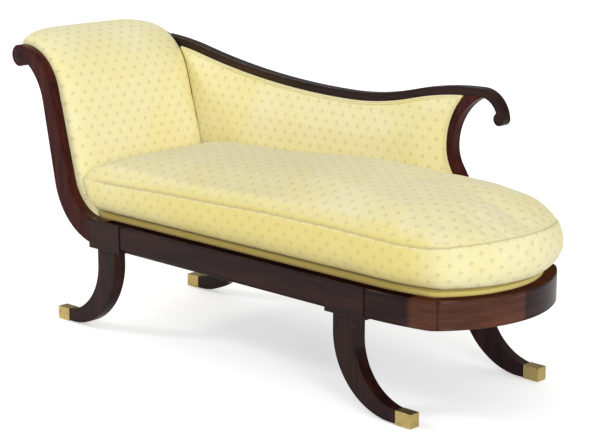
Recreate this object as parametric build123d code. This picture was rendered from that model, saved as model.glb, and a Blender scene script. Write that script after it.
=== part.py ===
from build123d import *
import math
import os

# A recamier: a day bed with a scrolled head, a swept back rail on one side, a rounded foot
# and four sabre legs. Millimetres. X runs from the head (-) to the foot (+), Y from the open
# front (-) to the back (+), Z up. The origin is on the floor under the middle of the piece.

# ---------------------------------------------------------------- driving sizes
overall_length = 1830.0
frame_width = 572.0

# seat frame
rail_bottom = 268.0
rail_height = 79.0
rail_thickness = 34.0
foot_overhang = 7.0
bow_run = 190.0
bow_drop = 22.0
foot_corner_radius = 50.0
edge_bead = 5.0
bead_depth = 1.4
bead_quirk = 1.2
edge_break = 1.6
scroll_neck_round = 8.0
ball_neck_round = 4.0

# leg blocks and sabre legs
head_block_inset = 457.0
foot_block_inset = 391.0
block_width = 140.0
block_proud = 4.0
block_drop = 9.0
block_inner = 11.0
block_cheek_height = 52.0
block_chamfer = 1.5
leg_heel_offset = 42.0
leg_top_width = 77.0
leg_top_depth = 43.0
leg_toe_depth = 34.0
heel_radius = 208.0
instep_radius = 172.0
instep_height = 211.0
toe_reach = 276.0

# brass toe caps and glides
cap_length = 52.0
cap_height = 39.0
cap_width = 35.0
cap_wall = 1.5
cap_round = 0.8
cap_fit = 0.3
glide_height = 3.0
glide_radius = 9.0
glide_setback = 32.0

# head posts
show_wood_depth = 31.0
roll_reach = 62.0
scroll_height = 808.0
scroll_radius = 33.0
crown_radius = 160.0
underside_radius = 175.0
underside_angle = 70.6
knee_inner_radius = 138.0
knee_outer_radius = 208.0
knee_inner_run = 36.0
knee_outer_run = 29.0
rosette_radius = 20.0
rosette_height = 3.0
rosette_round = 1.0
rosette_eye_radius = 9.0

# crest rail with its foot scroll
crest_depth = 24.0
crest_head_drop = 8.0
crest_butt_run = 68.0
crest_low_height = 736.0
crest_low_setback = 496.0
crest_head_share = 0.28
crest_foot_share = 0.5
crest_high_height = 799.0
hook_radius = 87.0
hook_end_angle = 6.0
hook_ball_radius = 18.5

# foot strut
strut_setback = 115.5
strut_waist_height = 625.0
strut_waist_width = 24.0
strut_top_radius_left = 210.0
strut_top_radius_right = 160.0
strut_low_radius_left = 138.0
strut_low_radius_right = 105.0
strut_foot_shift = 80.0
strut_foot_width = 33.0

# cross members
head_rail_thickness = 30.0
mid_rail_height = 45.0
mid_rail_thickness = 20.0
mid_rail_share = 0.5
top_rail_radius = 30.0
stretcher_width = 60.0
stretcher_height = 26.0
stretcher_gap = 6.0
foot_board_thickness = 12.0
tack_rail_height = 40.0
tack_rail_rise = 62.0
frame_inner_depth = 14.0
upright_width = 44.0
upright_setback = 610.0

# springs and their cleats
cleat_height = 20.0
cleat_width = 18.0
cleat_drop = 32.0
wire_size = 3.6
spring_count = 7
spring_amplitude = 24.0
spring_bends = 7

# upholstery
soft_gap = 0.3
hessian_thickness = 1.0
deck_rise = 23.0
pad_stand = 44.0
pad_edge_stand = 16.0
pad_shoulder_stand = 35.0
pad_shoulder = 25.0
pad_back_offset = 12.0
pad_foot_run = 74.0
roll_wrap_angle = 215.0
roll_lining = 1.0
webbing_thickness = 1.6
webbing_width = 50.0
webbing_count = 4
panel_thickness = 4.0
panel_recess = 2.0
back_pad_stand = 21.0
back_pad_inset = 26.0
dust_cover_thickness = 1.0
dust_cover_inset = 12.0

# loose seat cushion
boxing_height = 102.0
cushion_front_inset = 12.0
cushion_back_gap = 4.0
cushion_notch_gap = 12.0
notch_run = 60.0
cushion_head_top_run = 122.0
cushion_head_bottom_run = 44.0
cushion_corner_radius = 26.0
crown_levels = ((1.0, 0.0), (0.94, 42.0), (0.76, 70.0), (0.45, 95.0), (0.15, 108.0))

# fasteners
fastener_gap = 0.2
bolt_radius = 4.0
bolt_depth = 23.5
bolt_up = 42.0
bolt_down = 48.0

# ---------------------------------------------------------------- places worked out from them
half_length = overall_length / 2
half_width = frame_width / 2
rail_top = rail_bottom + rail_height
rail_inner = half_width - rail_thickness
wood_inner = half_width - show_wood_depth
head_block_x = -half_length + head_block_inset
foot_block_x = half_length - foot_block_inset
foot_apex_x = half_length - foot_overhang
block_bottom = rail_bottom - block_drop
scroll_x = -half_length + roll_reach
scroll_top = scroll_height + scroll_radius
deck_top = rail_top + deck_rise
cushion_bottom = deck_top + soft_gap
cap_bottom = glide_height
spring_level = rail_top - hessian_thickness - wire_size - soft_gap


def polar(centre, radius, angle):
    """Point at a radius and angle (degrees) from a centre, in the outline's own plane."""
    turn = math.radians(angle)
    return (centre[0] + radius * math.cos(turn), centre[1] + radius * math.sin(turn))


def outline(*edges):
    """Flat face from edges that meet end to end."""
    return make_face([*edges])


def polygon(*points):
    """Flat face with straight sides."""
    return make_face(Polyline(*points, close=True))


def slab(sketch, y_low, y_high):
    """Solid from an X-Z outline, between two depths in Y."""
    return extrude(Plane.XZ.offset(-y_high) * sketch, amount=y_high - y_low)


def plate(sketch, z_low, z_high):
    """Solid from an X-Y outline, between two heights."""
    return extrude(Plane.XY.offset(z_low) * sketch, amount=z_high - z_low)


def block(x_low, x_high, y_low, y_high, z_low, z_high):
    """Rectangular solid between its six faces."""
    centre = ((x_low + x_high) / 2, (y_low + y_high) / 2, (z_low + z_high) / 2)
    return Pos(*centre) * Box(x_high - x_low, y_high - y_low, z_high - z_low)


def to_back(shape):
    """The same shape on the back side of the frame."""
    return mirror(shape, about=Plane.XZ)


def beaded(sketch, y_face, y_back, butt=None):
    """Slab with a broken edge and a quirk line round its show face, which lies at y_face.

    The edge that lies furthest along butt, if given, meets another piece and stays square.
    """
    low, high = min(y_face, y_back), max(y_face, y_back)
    solid = slab(sketch, low, high)
    face_edges = solid.faces().sort_by(Axis.Y)[0 if y_face < y_back else -1].edges()
    if butt:
        face_edges = face_edges.sort_by(butt)[:-1]
    solid = chamfer(face_edges, edge_break)
    ring = offset(sketch, -edge_bead) - offset(sketch, -(edge_bead + bead_quirk))
    inward = bead_quirk if y_face < y_back else -bead_quirk
    groove = slab(ring, min(y_face, y_face + inward), max(y_face, y_face + inward))
    return solid - groove


# ---------------------------------------------------------------- shared curves
webbing_back = -(pad_back_offset + soft_gap + webbing_thickness)


def crossing_angle(centre_a, radius_a, centre_b, radius_b):
    """Angle of the touch point of the straight run that crosses between two circles."""
    run_x, run_z = centre_b[0] - centre_a[0], centre_b[1] - centre_a[1]
    spread = math.degrees(math.acos((radius_a + radius_b) / math.hypot(run_x, run_z)))
    return math.degrees(math.atan2(run_z, run_x)) + spread


crown_centre = (scroll_x, scroll_top - crown_radius)
knee_inner_centre = (head_block_x - knee_inner_run, rail_top + knee_inner_radius)
inner_lean = crossing_angle(crown_centre, crown_radius, knee_inner_centre, knee_inner_radius)
underside_centre = polar((scroll_x, scroll_height), underside_radius, underside_angle + 180)
knee_outer_centre = (head_block_x - knee_outer_run, rail_bottom + knee_outer_radius)
outer_lean = crossing_angle(underside_centre, underside_radius, knee_outer_centre, knee_outer_radius)


def head_line(stand, knee_end=270.0):
    """Edges of the head's inner curve, moved towards the sitter by stand, from scroll to knee."""
    upper, lower = crown_radius + stand, knee_inner_radius - stand
    return [
        CenterArc(crown_centre, upper, 90, inner_lean - 90),
        Line(polar(crown_centre, upper, inner_lean), polar(knee_inner_centre, lower, inner_lean + 180)),
        CenterArc(knee_inner_centre, lower, inner_lean + 180, knee_end - inner_lean - 180),
    ]


def head_back_line(inset, scroll_angle, knee_end=270.0):
    """Edges of the head's outer curve, moved into the post by inset, from knee to scroll."""
    upper, lower = underside_radius + inset, knee_outer_radius - inset
    return [
        CenterArc(knee_outer_centre, lower, knee_end, outer_lean + 180 - knee_end),
        Line(polar(knee_outer_centre, lower, outer_lean + 180), polar(underside_centre, upper, outer_lean)),
        CenterArc(underside_centre, upper, outer_lean, scroll_angle - outer_lean),
    ]


def ogee_arcs(start, end, share, depth):
    """Two tangent arcs between two level points, drawn depth below that line, left to right."""
    run, rise = end[0] - start[0], end[1] - start[1]
    side = math.copysign(1, rise)
    total = (run * run + rise * rise) / (2 * abs(rise))
    turn = 2 * math.degrees(math.atan(abs(rise) / run))
    first, second = share * total, (1 - share) * total
    return [
        CenterArc((start[0], start[1] + side * first), first + side * depth, -side * 90, side * turn),
        CenterArc((end[0], end[1] - side * second), second - side * depth, side * (90 + turn), -side * turn),
    ]


crest_head = (scroll_x, scroll_top - crest_head_drop)
crest_low = (foot_block_x - crest_low_setback, crest_low_height)
crest_high = (foot_block_x, crest_high_height)
hook_centre = (crest_high[0], crest_high[1] - hook_radius)
hook_ball_centre = polar(hook_centre, hook_radius - hook_ball_radius, hook_end_angle)


def crest_line(depth):
    """Edges of the crest rail's curve at a depth below its top, from head to foot."""
    return ogee_arcs(crest_head, crest_low, crest_head_share, depth) + ogee_arcs(
        crest_low, crest_high, crest_foot_share, depth
    )


def crest_face():
    """The crest rail's outline with its hook and ball, from above the head's scroll."""
    inner_hook = hook_radius - crest_depth
    band = outline(
        *crest_line(0),
        CenterArc(hook_centre, hook_radius, hook_end_angle, 90 - hook_end_angle),
        Line(polar(hook_centre, hook_radius, hook_end_angle), polar(hook_centre, inner_hook, hook_end_angle)),
        CenterArc(hook_centre, inner_hook, hook_end_angle, 90 - hook_end_angle),
        *crest_line(crest_depth),
        Line(crest_head, (crest_head[0], crest_head[1] - crest_depth)),
    )
    joined = band + Pos(*hook_ball_centre) * Circle(hook_ball_radius)
    inner_points = joined.vertices().filter_by(lambda v: math.dist((v.X, v.Y), hook_centre) < inner_hook + 1)
    necks = inner_points.filter_by(lambda v: math.dist((v.X, v.Y), hook_ball_centre) < hook_ball_radius + 1)
    return fillet(necks, ball_neck_round)


def make_crest_rail():
    """Crest rail, scribed at its head end over the post's edge, with a blunt tip."""
    body = beaded(crest_face(), wood_inner, half_width)
    tip_x = scroll_x + crest_butt_run
    tip = polygon((scroll_x, rail_top), (tip_x, rail_top), (tip_x, scroll_top), (scroll_x, scroll_top))
    return body - slab(Pos(*crown_centre) * Circle(crown_radius) + tip, wood_inner, half_width)


def above_crest(depth):
    """Everything above the crest rail's curve at a depth below its top."""
    start, end = (crest_head[0], crest_head[1] - depth), (crest_high[0], crest_high[1] - depth)
    sky = scroll_top + crown_radius
    return outline(
        *crest_line(depth),
        Line(end, (end[0], sky)),
        Line((end[0], sky), (start[0], sky)),
        Line((start[0], sky), start),
    )


strut_x = foot_block_x - strut_setback


def strut_edge(x_waist, top_radius, low_radius, foot_x, top_angle):
    """One long edge of the strut: an arc above its waist and an ogee below, top to foot."""
    run, drop = foot_x - x_waist, strut_waist_height - rail_top
    total = (run * run + drop * drop) / (2 * run)
    turn = 2 * math.degrees(math.atan(run / drop))
    return [
        CenterArc((x_waist + top_radius, strut_waist_height), top_radius, 180 - top_angle, top_angle),
        CenterArc((x_waist + low_radius, strut_waist_height), low_radius, 180, turn),
        CenterArc((foot_x - (total - low_radius), rail_top), total - low_radius, turn, -turn),
    ]


def strut_left_edge(gap, top_angle):
    """The strut's edge on the upholstered side, moved away from the strut by gap."""
    x_waist = strut_x - gap
    return strut_edge(
        x_waist, strut_top_radius_left, strut_low_radius_left, x_waist + strut_foot_shift, top_angle
    )


def make_foot_strut():
    """Waisted strut on the back rail, cut at its top to the underside of the crest rail."""
    left_angle, right_angle = 60.0, 80.0
    right_waist = strut_x + strut_waist_width
    right_foot = strut_x + strut_foot_shift + strut_foot_width
    left_centre = (strut_x + strut_top_radius_left, strut_waist_height)
    right_centre = (right_waist + strut_top_radius_right, strut_waist_height)
    full = outline(
        *strut_left_edge(0, left_angle),
        Line((strut_x + strut_foot_shift, rail_top), (right_foot, rail_top)),
        *strut_edge(right_waist, strut_top_radius_right, strut_low_radius_right, right_foot, right_angle),
        Line(
            polar(right_centre, strut_top_radius_right, 180 - right_angle),
            polar(left_centre, strut_top_radius_left, 180 - left_angle),
        ),
    )
    down = Axis((0, 0, 0), (0, 0, -1))
    cut = beaded(full, wood_inner, half_width, butt=down) - slab(crest_face(), wood_inner, half_width)
    return cut.solids().sort_by(SortBy.VOLUME)[-1]


bow_radius = (bow_run**2 + bow_drop**2) / (2 * bow_drop)
bow_turn = 2 * math.degrees(math.atan(bow_drop / bow_run))
bow_x = foot_block_x + block_width / 2
bow_centre = (bow_x, -half_width + bow_radius)
corner_centre = polar(bow_centre, bow_radius - foot_corner_radius, bow_turn - 90)
corner_reach = (foot_apex_x - foot_corner_radius - corner_centre[0]) / -corner_centre[1]
corner_turn = 90 - 2 * math.degrees(math.atan(corner_reach))
end_radius = foot_corner_radius - corner_centre[1] / math.cos(math.radians(corner_turn))
end_centre = (foot_apex_x - end_radius, 0)


def foot_curve(inset):
    """Edges of the rounded foot in plan, moved inwards by inset, from front to back."""
    corner = foot_corner_radius - inset
    back_bow, back_corner = (bow_centre[0], -bow_centre[1]), (corner_centre[0], -corner_centre[1])
    swing = corner_turn - bow_turn
    return [
        CenterArc(bow_centre, bow_radius - inset, -90, bow_turn),
        CenterArc(corner_centre, corner, bow_turn - 90, swing),
        CenterArc(end_centre, end_radius - inset, corner_turn - 90, 2 * (90 - corner_turn)),
        CenterArc(back_corner, corner, 90 - corner_turn, swing),
        CenterArc(back_bow, bow_radius - inset, 90 - bow_turn, bow_turn),
    ]


def seat_plan(x_head, inset):
    """The seat's plan from x_head to the rounded foot, moved inside the rails' faces by inset."""
    side = half_width - inset
    return outline(
        Line((x_head, -side), (bow_x, -side)),
        *foot_curve(inset),
        Line((bow_x, side), (x_head, side)),
        Line((x_head, side), (x_head, -side)),
    )


# ---------------------------------------------------------------- seat frame
def rail_section(face, inward):
    """Rail section: a round bead along the top edge, a quirk above a broken bottom edge."""
    def at(depth, height):
        return (face + inward * depth, height)

    shelf, nose = bead_depth + bead_quirk, bead_quirk / 4
    low, high = rail_bottom, rail_top
    bead_foot, groove_low = high - edge_bead, low + edge_bead
    return outline(
        ThreePointArc(at(shelf, high), at(nose, high - edge_bead / 2), at(bead_depth, bead_foot)),
        Line(at(bead_depth, bead_foot), at(0, bead_foot - bead_quirk)),
        Line(at(0, bead_foot - bead_quirk), at(0, groove_low + 2 * bead_quirk)),
        Line(at(0, groove_low + 2 * bead_quirk), at(bead_quirk, groove_low + bead_quirk)),
        Line(at(bead_quirk, groove_low + bead_quirk), at(0, groove_low)),
        Line(at(0, groove_low), at(0, low + edge_break)),
        Line(at(0, low + edge_break), at(edge_break, low)),
        Line(at(edge_break, low), at(rail_thickness, low)),
        Line(at(rail_thickness, low), at(rail_thickness, high)),
        Line(at(rail_thickness, high), at(shelf, high)),
    )


def bolt_place(x_block):
    """X and Y of the bolt that holds a leg under its block, front side."""
    way = math.copysign(1, x_block)
    return x_block + way * (leg_top_width / 2 - leg_heel_offset), -half_width + bolt_depth


def rod(radius, length, centre, axis=(0, 0, 1)):
    """Round rod of a length about its centre, along an axis."""
    return Plane(origin=centre, z_dir=axis) * Cylinder(radius, length)


def bolt_hole(x_block, z_low, z_high):
    """Clearance hole for the bolt at a block, front side."""
    x_bolt, y_bolt = bolt_place(x_block)
    return rod(bolt_radius + fastener_gap, z_high - z_low, (x_bolt, y_bolt, (z_low + z_high) / 2))


def make_front_rail():
    section = rail_section(-half_width, 1)
    bar = extrude(Plane.YZ.offset(head_block_x) * section, amount=foot_block_x - head_block_x)
    bolts_top = rail_bottom + bolt_up
    for x_block in (head_block_x, foot_block_x):
        bar -= bolt_hole(x_block, rail_bottom, bolts_top)
    return bar


def swept_rail(centre, radius, start_angle, sweep_angle):
    """Length of rail bent to an arc in plan."""
    section = Plane.XZ * rail_section(radius, -1)
    arc = revolve(section, Axis.Z, revolution_arc=sweep_angle)
    return Pos(centre[0], centre[1], 0) * Rot(0, 0, start_angle) * arc


def make_foot_corner():
    straight = extrude(Plane.YZ.offset(foot_block_x) * rail_section(-half_width, 1), amount=bow_x - foot_block_x)
    bow = swept_rail(bow_centre, bow_radius, -90, bow_turn)
    corner = swept_rail(corner_centre, foot_corner_radius, bow_turn - 90, corner_turn - bow_turn)
    return straight + bow + corner - bolt_hole(foot_block_x, rail_bottom, rail_bottom + bolt_up)


def make_foot_end_rail():
    return swept_rail(end_centre, end_radius, corner_turn - 90, 2 * (90 - corner_turn))


def make_head_rail():
    """Cross rail under the knee, shaped above to the webbing and below to the outside panel."""
    x_high = head_block_x - block_width / 2
    x_low = x_high - head_rail_thickness
    bar = polygon((x_low, rail_bottom), (x_high, rail_bottom), (x_high, rail_top), (x_low, rail_top))
    bed = Pos(*knee_inner_centre) * Circle(knee_inner_radius - webbing_back + soft_gap)
    skirt = Pos(*knee_outer_centre) * Circle(knee_outer_radius - panel_recess - panel_thickness - soft_gap)
    return slab((bar - bed) & skirt, -wood_inner, wood_inner)


def make_stretcher():
    """Flat bar across the middle of the seat, let in between the long rails."""
    x_middle, half = (head_block_x + foot_block_x) / 2, stretcher_width / 2
    z_low = rail_bottom + stretcher_gap
    return block(
        x_middle - half, x_middle + half, -rail_inner, rail_inner, z_low, z_low + stretcher_height
    )


def make_foot_board():
    """Board inside the rounded foot, level with the springs."""
    face = seat_plan(foot_block_x - block_width / 2, rail_thickness + soft_gap)
    z_high = spring_level + wire_size
    return plate(face, z_high - foot_board_thickness, z_high)


# ---------------------------------------------------------------- leg blocks, legs, caps
def make_leg_block(x_block):
    """Saddle under and round the long rail: a proud face, a floor and an inner cheek."""
    half = block_width / 2
    y_face = -half_width - block_proud
    y_inner = -rail_inner + block_inner
    body = block(x_block - half, x_block + half, y_face, y_inner, block_bottom, rail_top)
    show_edges = body.faces().sort_by(Axis.Y)[0].edges()
    body = chamfer(show_edges, block_chamfer)
    x_low, x_high = x_block - block_width, x_block + block_width
    z_high = rail_top + rail_height
    channel = block(x_low, x_high, -half_width, -rail_inner, rail_bottom, z_high)
    channel += block(x_low, x_high, -rail_inner, 0, rail_bottom + block_cheek_height, z_high)
    return body - channel - bolt_hole(x_block, block_bottom, rail_bottom)


def leg_outline(heel_x, way):
    """Sabre leg seen from the front. way is the X direction in which the toe points."""
    def at(run, height):
        return (heel_x + way * run, height)

    sole = cap_bottom + cap_wall + cap_fit
    toe_run = toe_reach - cap_length
    instep_foot = instep_height - math.sqrt(instep_radius**2 - (leg_top_width + instep_radius - toe_run) ** 2)
    diagonal = math.sqrt(0.5)
    heel_mid = at(heel_radius * (1 - diagonal), sole + heel_radius * (1 - diagonal))
    bend_run = toe_run - leg_top_width
    half_turn = math.acos((instep_radius - bend_run) / instep_radius) / 2
    instep_mid = at(
        leg_top_width + instep_radius * (1 - math.cos(half_turn)), instep_height - instep_radius * math.sin(half_turn)
    )
    return outline(
        Line(at(0, block_bottom), at(leg_top_width, block_bottom)),
        Line(at(leg_top_width, block_bottom), at(leg_top_width, instep_height)),
        ThreePointArc(at(leg_top_width, instep_height), instep_mid, at(toe_run, instep_foot)),
        Line(at(toe_run, instep_foot), at(toe_run, sole)),
        Line(at(toe_run, sole), at(heel_radius, sole)),
        ThreePointArc(at(heel_radius, sole), heel_mid, at(0, sole + heel_radius)),
        Line(at(0, sole + heel_radius), at(0, block_bottom)),
    )


def make_leg(x_block, way):
    """Front-side sabre leg: outline, tapering depth and the tenon that fills the toe cap."""
    heel_x = x_block - way * leg_heel_offset
    y_face = -half_width
    body = beaded(leg_outline(heel_x, way), y_face, y_face + leg_top_depth)
    toe_x = heel_x + way * toe_reach
    shoulder_x = toe_x - way * cap_length
    inner_cheek = make_face(
        Polyline(
            (y_face + leg_top_depth, instep_height),
            (y_face + leg_toe_depth, cap_height + cap_bottom),
            (y_face + leg_toe_depth, 0),
            (y_face + leg_top_depth, 0),
            close=True,
        )
    )
    x_low = min(heel_x, toe_x) - cap_length
    body -= extrude(Plane.YZ.offset(x_low) * inner_cheek, amount=2 * toe_reach)
    inset = cap_wall + cap_fit
    y_cap = y_face + leg_toe_depth / 2 - cap_width / 2
    tenon_tip = toe_x - way * inset
    tenon = block(
        min(shoulder_x, tenon_tip), max(shoulder_x, tenon_tip),
        y_cap + inset, y_cap + cap_width - inset,
        cap_bottom + inset, cap_bottom + cap_height - inset,
    )
    return body + tenon - bolt_hole(x_block, block_bottom - bolt_down, block_bottom)


def glide_x(x_block, way):
    """X of a glide under a toe cap."""
    return x_block - way * leg_heel_offset + way * (toe_reach - glide_setback)


def glide_y():
    """Y of the front glides: the middle of the toe."""
    return -half_width + leg_toe_depth / 2


def make_toe_cap(x_block, way):
    """Square brass cap, open where the leg enters."""
    toe_x = x_block - way * leg_heel_offset + way * toe_reach
    mouth_x = toe_x - way * cap_length
    y_low = glide_y() - cap_width / 2
    shell = block(
        min(toe_x, mouth_x), max(toe_x, mouth_x), y_low, y_low + cap_width, cap_bottom, cap_bottom + cap_height
    )
    tip = shell.faces().sort_by(Axis.X)[-1 if way > 0 else 0]
    shell = fillet(tip.edges(), cap_round)
    far_x = mouth_x - way * cap_length
    tip_x = toe_x - way * cap_wall
    hollow = block(
        min(far_x, tip_x), max(far_x, tip_x),
        y_low + cap_wall, y_low + cap_width - cap_wall,
        cap_bottom + cap_wall, cap_bottom + cap_height - cap_wall,
    )
    return shell - hollow


def make_glide(x_block, way):
    """Round glide under a toe cap."""
    pad = Cylinder(glide_radius, glide_height, align=(Align.CENTER, Align.CENTER, Align.MIN))
    return Pos(glide_x(x_block, way), glide_y(), 0) * pad


# ---------------------------------------------------------------- head
def post_face():
    """Front view of a head post: knee, leaning shaft and scroll."""
    scroll = (scroll_x, scroll_height)
    joined = (
        outline(
            Line((head_block_x, rail_bottom), (knee_outer_centre[0], rail_bottom)),
            *head_back_line(0, underside_angle),
            Line(scroll, (scroll_x, scroll_top)),
            *head_line(0),
            Line((knee_inner_centre[0], rail_top), (head_block_x, rail_top)),
            Line((head_block_x, rail_top), (head_block_x, rail_bottom)),
        )
        + Pos(*scroll) * Circle(scroll_radius)
    )
    necks = joined.vertices().filter_by(lambda v: abs(math.dist((v.X, v.Y), scroll) - scroll_radius) < 1)
    return fillet(necks.sort_by(Axis.Y)[0], scroll_neck_round)


def make_head_post():
    body = beaded(post_face(), -half_width, -wood_inner, butt=Axis.X)
    return body - bolt_hole(head_block_x, rail_bottom, rail_bottom + bolt_up)


def make_rosette():
    """Turned button on the scroll's face: a sloped rim with a raised eye."""
    profile = polygon(
        (0, 0), (rosette_radius, 0), (rosette_eye_radius + rosette_round, rosette_height / 2),
        (rosette_eye_radius, rosette_height), (0, rosette_height),
    )
    button = revolve(Plane.XZ * profile, Axis.Z)
    return Pos(scroll_x, -half_width, scroll_height) * Rot(90, 0, 0) * button


def make_head_top_rail():
    return rod(top_rail_radius, 2 * wood_inner, (scroll_x, 0, scroll_height), (0, 1, 0))


def lean_point(share, stand):
    """Point on the head's straight run, share of the way up it, stand in front of the post."""
    low = polar(knee_inner_centre, knee_inner_radius - stand, inner_lean + 180)
    high = polar(crown_centre, crown_radius + stand, inner_lean)
    return (low[0] + share * (high[0] - low[0]), low[1] + share * (high[1] - low[1]))


def make_head_mid_rail():
    """Cross rail behind the webbing, laid along the lean of the posts."""
    near = -webbing_back + soft_gap
    centre = lean_point(mid_rail_share, -(near + mid_rail_thickness / 2))
    bar = Rectangle(mid_rail_thickness, mid_rail_height)
    return slab(Pos(*centre) * Rot(0, 0, inner_lean) * bar, -wood_inner, wood_inner)


def head_strap_face():
    """Side view of a webbing strap, from the top rail down to the head rail."""
    knee_end = 256.0
    front, back = -(pad_back_offset + soft_gap), webbing_back
    band = outline(
        *head_line(front, knee_end),
        Line(
            polar(knee_inner_centre, knee_inner_radius - front, knee_end),
            polar(knee_inner_centre, knee_inner_radius - back, knee_end),
        ),
        *head_line(back, knee_end),
        Line(polar(crown_centre, crown_radius + back, 90), polar(crown_centre, crown_radius + front, 90)),
    )
    rest = band - Pos(scroll_x, scroll_height) * Circle(top_rail_radius + soft_gap)
    return rest.faces().sort_by(SortBy.AREA)[-1]


def make_head_webbing():
    span = 2 * wood_inner / webbing_count
    face = head_strap_face()
    straps = []
    for index in range(webbing_count):
        middle = -wood_inner + span * (index + 0.5)
        straps.append(slab(face, middle - webbing_width / 2, middle + webbing_width / 2))
    return straps


def pad_profile(stand, reach):
    """Side view of the head pad: roll over the top rail, lean and knee, down to the seat."""
    foot_x = head_block_x - pad_foot_run
    back = -pad_back_offset
    lining = top_rail_radius + roll_lining

    def knee_angle(offset_stand):
        radius = knee_inner_radius - offset_stand
        return 180 + math.degrees(math.acos((knee_inner_centre[0] - foot_x) / radius))

    scroll = (scroll_x, scroll_height)
    upper = crown_radius + back
    rise = crown_centre[1] - scroll_height
    join = math.degrees(math.acos((upper**2 + rise**2 - lining**2) / (2 * upper * -rise)))
    join_point = polar(crown_centre, upper, 90 - join)
    join_angle = math.degrees(math.atan2(join_point[1] - scroll_height, join_point[0] - scroll_x))
    tip = math.radians(roll_wrap_angle)
    tip_outer = (scroll_x + reach * math.cos(tip), scroll_height + (scroll_radius + stand) * math.sin(tip))
    crown_back = [
        CenterArc(crown_centre, upper, 90 - join, inner_lean - 90 + join),
        Line(
            polar(crown_centre, upper, inner_lean),
            polar(knee_inner_centre, knee_inner_radius - back, inner_lean + 180),
        ),
        CenterArc(
            knee_inner_centre, knee_inner_radius - back, inner_lean + 180, knee_angle(back) - inner_lean - 180
        ),
    ]
    return outline(
        *head_line(stand, knee_angle(stand)),
        Line(
            polar(knee_inner_centre, knee_inner_radius - stand, knee_angle(stand)),
            polar(knee_inner_centre, knee_inner_radius - back, knee_angle(back)),
        ),
        *crown_back,
        CenterArc(scroll, lining, join_angle, roll_wrap_angle - join_angle),
        Line(polar(scroll, lining, roll_wrap_angle), tip_outer),
        EllipticalCenterArc(
            scroll, reach, scroll_radius + stand, start_angle=90, arc_size=roll_wrap_angle - 90
        ),
    )


def make_head_pad():
    """Inside back of the head, fuller between its two sides than along them."""
    edge = wood_inner - soft_gap
    shoulder = edge - pad_shoulder
    thin, round_over, full = [
        pad_profile(stand, roll_reach - (pad_stand - stand))
        for stand in (pad_edge_stand, pad_shoulder_stand, pad_stand)
    ]
    places = ((-edge, thin), (-shoulder, round_over), (0, full), (shoulder, round_over), (edge, thin))
    return loft([Plane.XZ.offset(-y) * profile for y, profile in places], ruled=True)


def make_outside_head_panel():
    """Covered board on the outside of the head, let in between the posts."""
    knee_end, scroll_angle = 258.0, 66.0
    outer, inner = panel_recess, panel_recess + panel_thickness
    face = outline(
        *head_back_line(outer, scroll_angle, knee_end),
        Line(
            polar(underside_centre, underside_radius + outer, scroll_angle),
            polar(underside_centre, underside_radius + inner, scroll_angle),
        ),
        *head_back_line(inner, scroll_angle, knee_end),
        Line(
            polar(knee_outer_centre, knee_outer_radius - inner, knee_end),
            polar(knee_outer_centre, knee_outer_radius - outer, knee_end),
        ),
    )
    rest = face - Pos(scroll_x, scroll_height) * Circle(top_rail_radius + soft_gap)
    panel = rest.faces().sort_by(SortBy.AREA)[-1]
    return slab(panel, -wood_inner + soft_gap, wood_inner - soft_gap)


# ---------------------------------------------------------------- back
def left_of_head(stand):
    """Everything on the head's side of its inner curve, moved by stand."""
    far = -half_length - crown_radius
    top = (crown_centre[0], crown_centre[1] + crown_radius + stand)
    foot = (knee_inner_centre[0], knee_inner_centre[1] - knee_inner_radius + stand)
    floor = rail_bottom
    return outline(
        *head_line(stand),
        Line(foot, (foot[0], floor)),
        Line((foot[0], floor), (far, floor)),
        Line((far, floor), (far, top[1])),
        Line((far, top[1]), top),
    )


def right_of_strut(gap):
    """Everything on the foot's side of the strut's upholstered edge."""
    top_angle = 62.0
    x_waist = strut_x - gap
    top = polar((x_waist + strut_top_radius_left, strut_waist_height), strut_top_radius_left, 180 - top_angle)
    foot = (x_waist + strut_foot_shift, rail_top)
    far = half_length
    return outline(
        *strut_left_edge(gap, top_angle),
        Line(foot, (foot[0], rail_bottom)),
        Line((foot[0], rail_bottom), (far, rail_bottom)),
        Line((far, rail_bottom), (far, top[1])),
        Line((far, top[1]), top),
    )


def back_opening(stand, gap, z_low):
    """The back panel's outline between the head, the crest rail, the strut and a height."""
    sheet = polygon(
        (scroll_x, z_low), (foot_block_x, z_low), (foot_block_x, scroll_top), (scroll_x, scroll_top)
    )
    rest = sheet - left_of_head(stand) - above_crest(crest_depth + gap) - right_of_strut(gap)
    return rest.faces().sort_by(SortBy.AREA)[-1]


y_panel_high = half_width - panel_recess
y_panel_low = y_panel_high - panel_thickness
y_inner_frame_low = y_panel_low - soft_gap - frame_inner_depth
y_hessian_low = y_inner_frame_low - hessian_thickness


def make_back_tack_rail():
    z_low = rail_top + tack_rail_rise
    strip = polygon(
        (scroll_x, z_low), (foot_block_x, z_low),
        (foot_block_x, z_low + tack_rail_height), (scroll_x, z_low + tack_rail_height),
    )
    face = (strip & back_opening(0, 0, rail_top)).faces().sort_by(SortBy.AREA)[-1]
    return slab(face, y_inner_frame_low, y_inner_frame_low + frame_inner_depth)


def upright_strip():
    middle = foot_block_x - upright_setback
    half = upright_width / 2
    return polygon(
        (middle - half, rail_top), (middle + half, rail_top),
        (middle + half, scroll_top), (middle - half, scroll_top),
    )


def make_back_uprights():
    """Upright between the seat rail and the crest rail, in two lengths round the tack rail."""
    face = upright_strip() & back_opening(0, 0, rail_top)
    full = slab(face, y_inner_frame_low, y_inner_frame_low + frame_inner_depth)
    return full - make_back_tack_rail()


def make_back_hessian():
    return slab(back_opening(soft_gap, soft_gap, rail_top), y_hessian_low, y_hessian_low + hessian_thickness)


def make_outside_back_panel():
    return slab(back_opening(soft_gap, soft_gap, rail_top), y_panel_low, y_panel_high)


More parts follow.
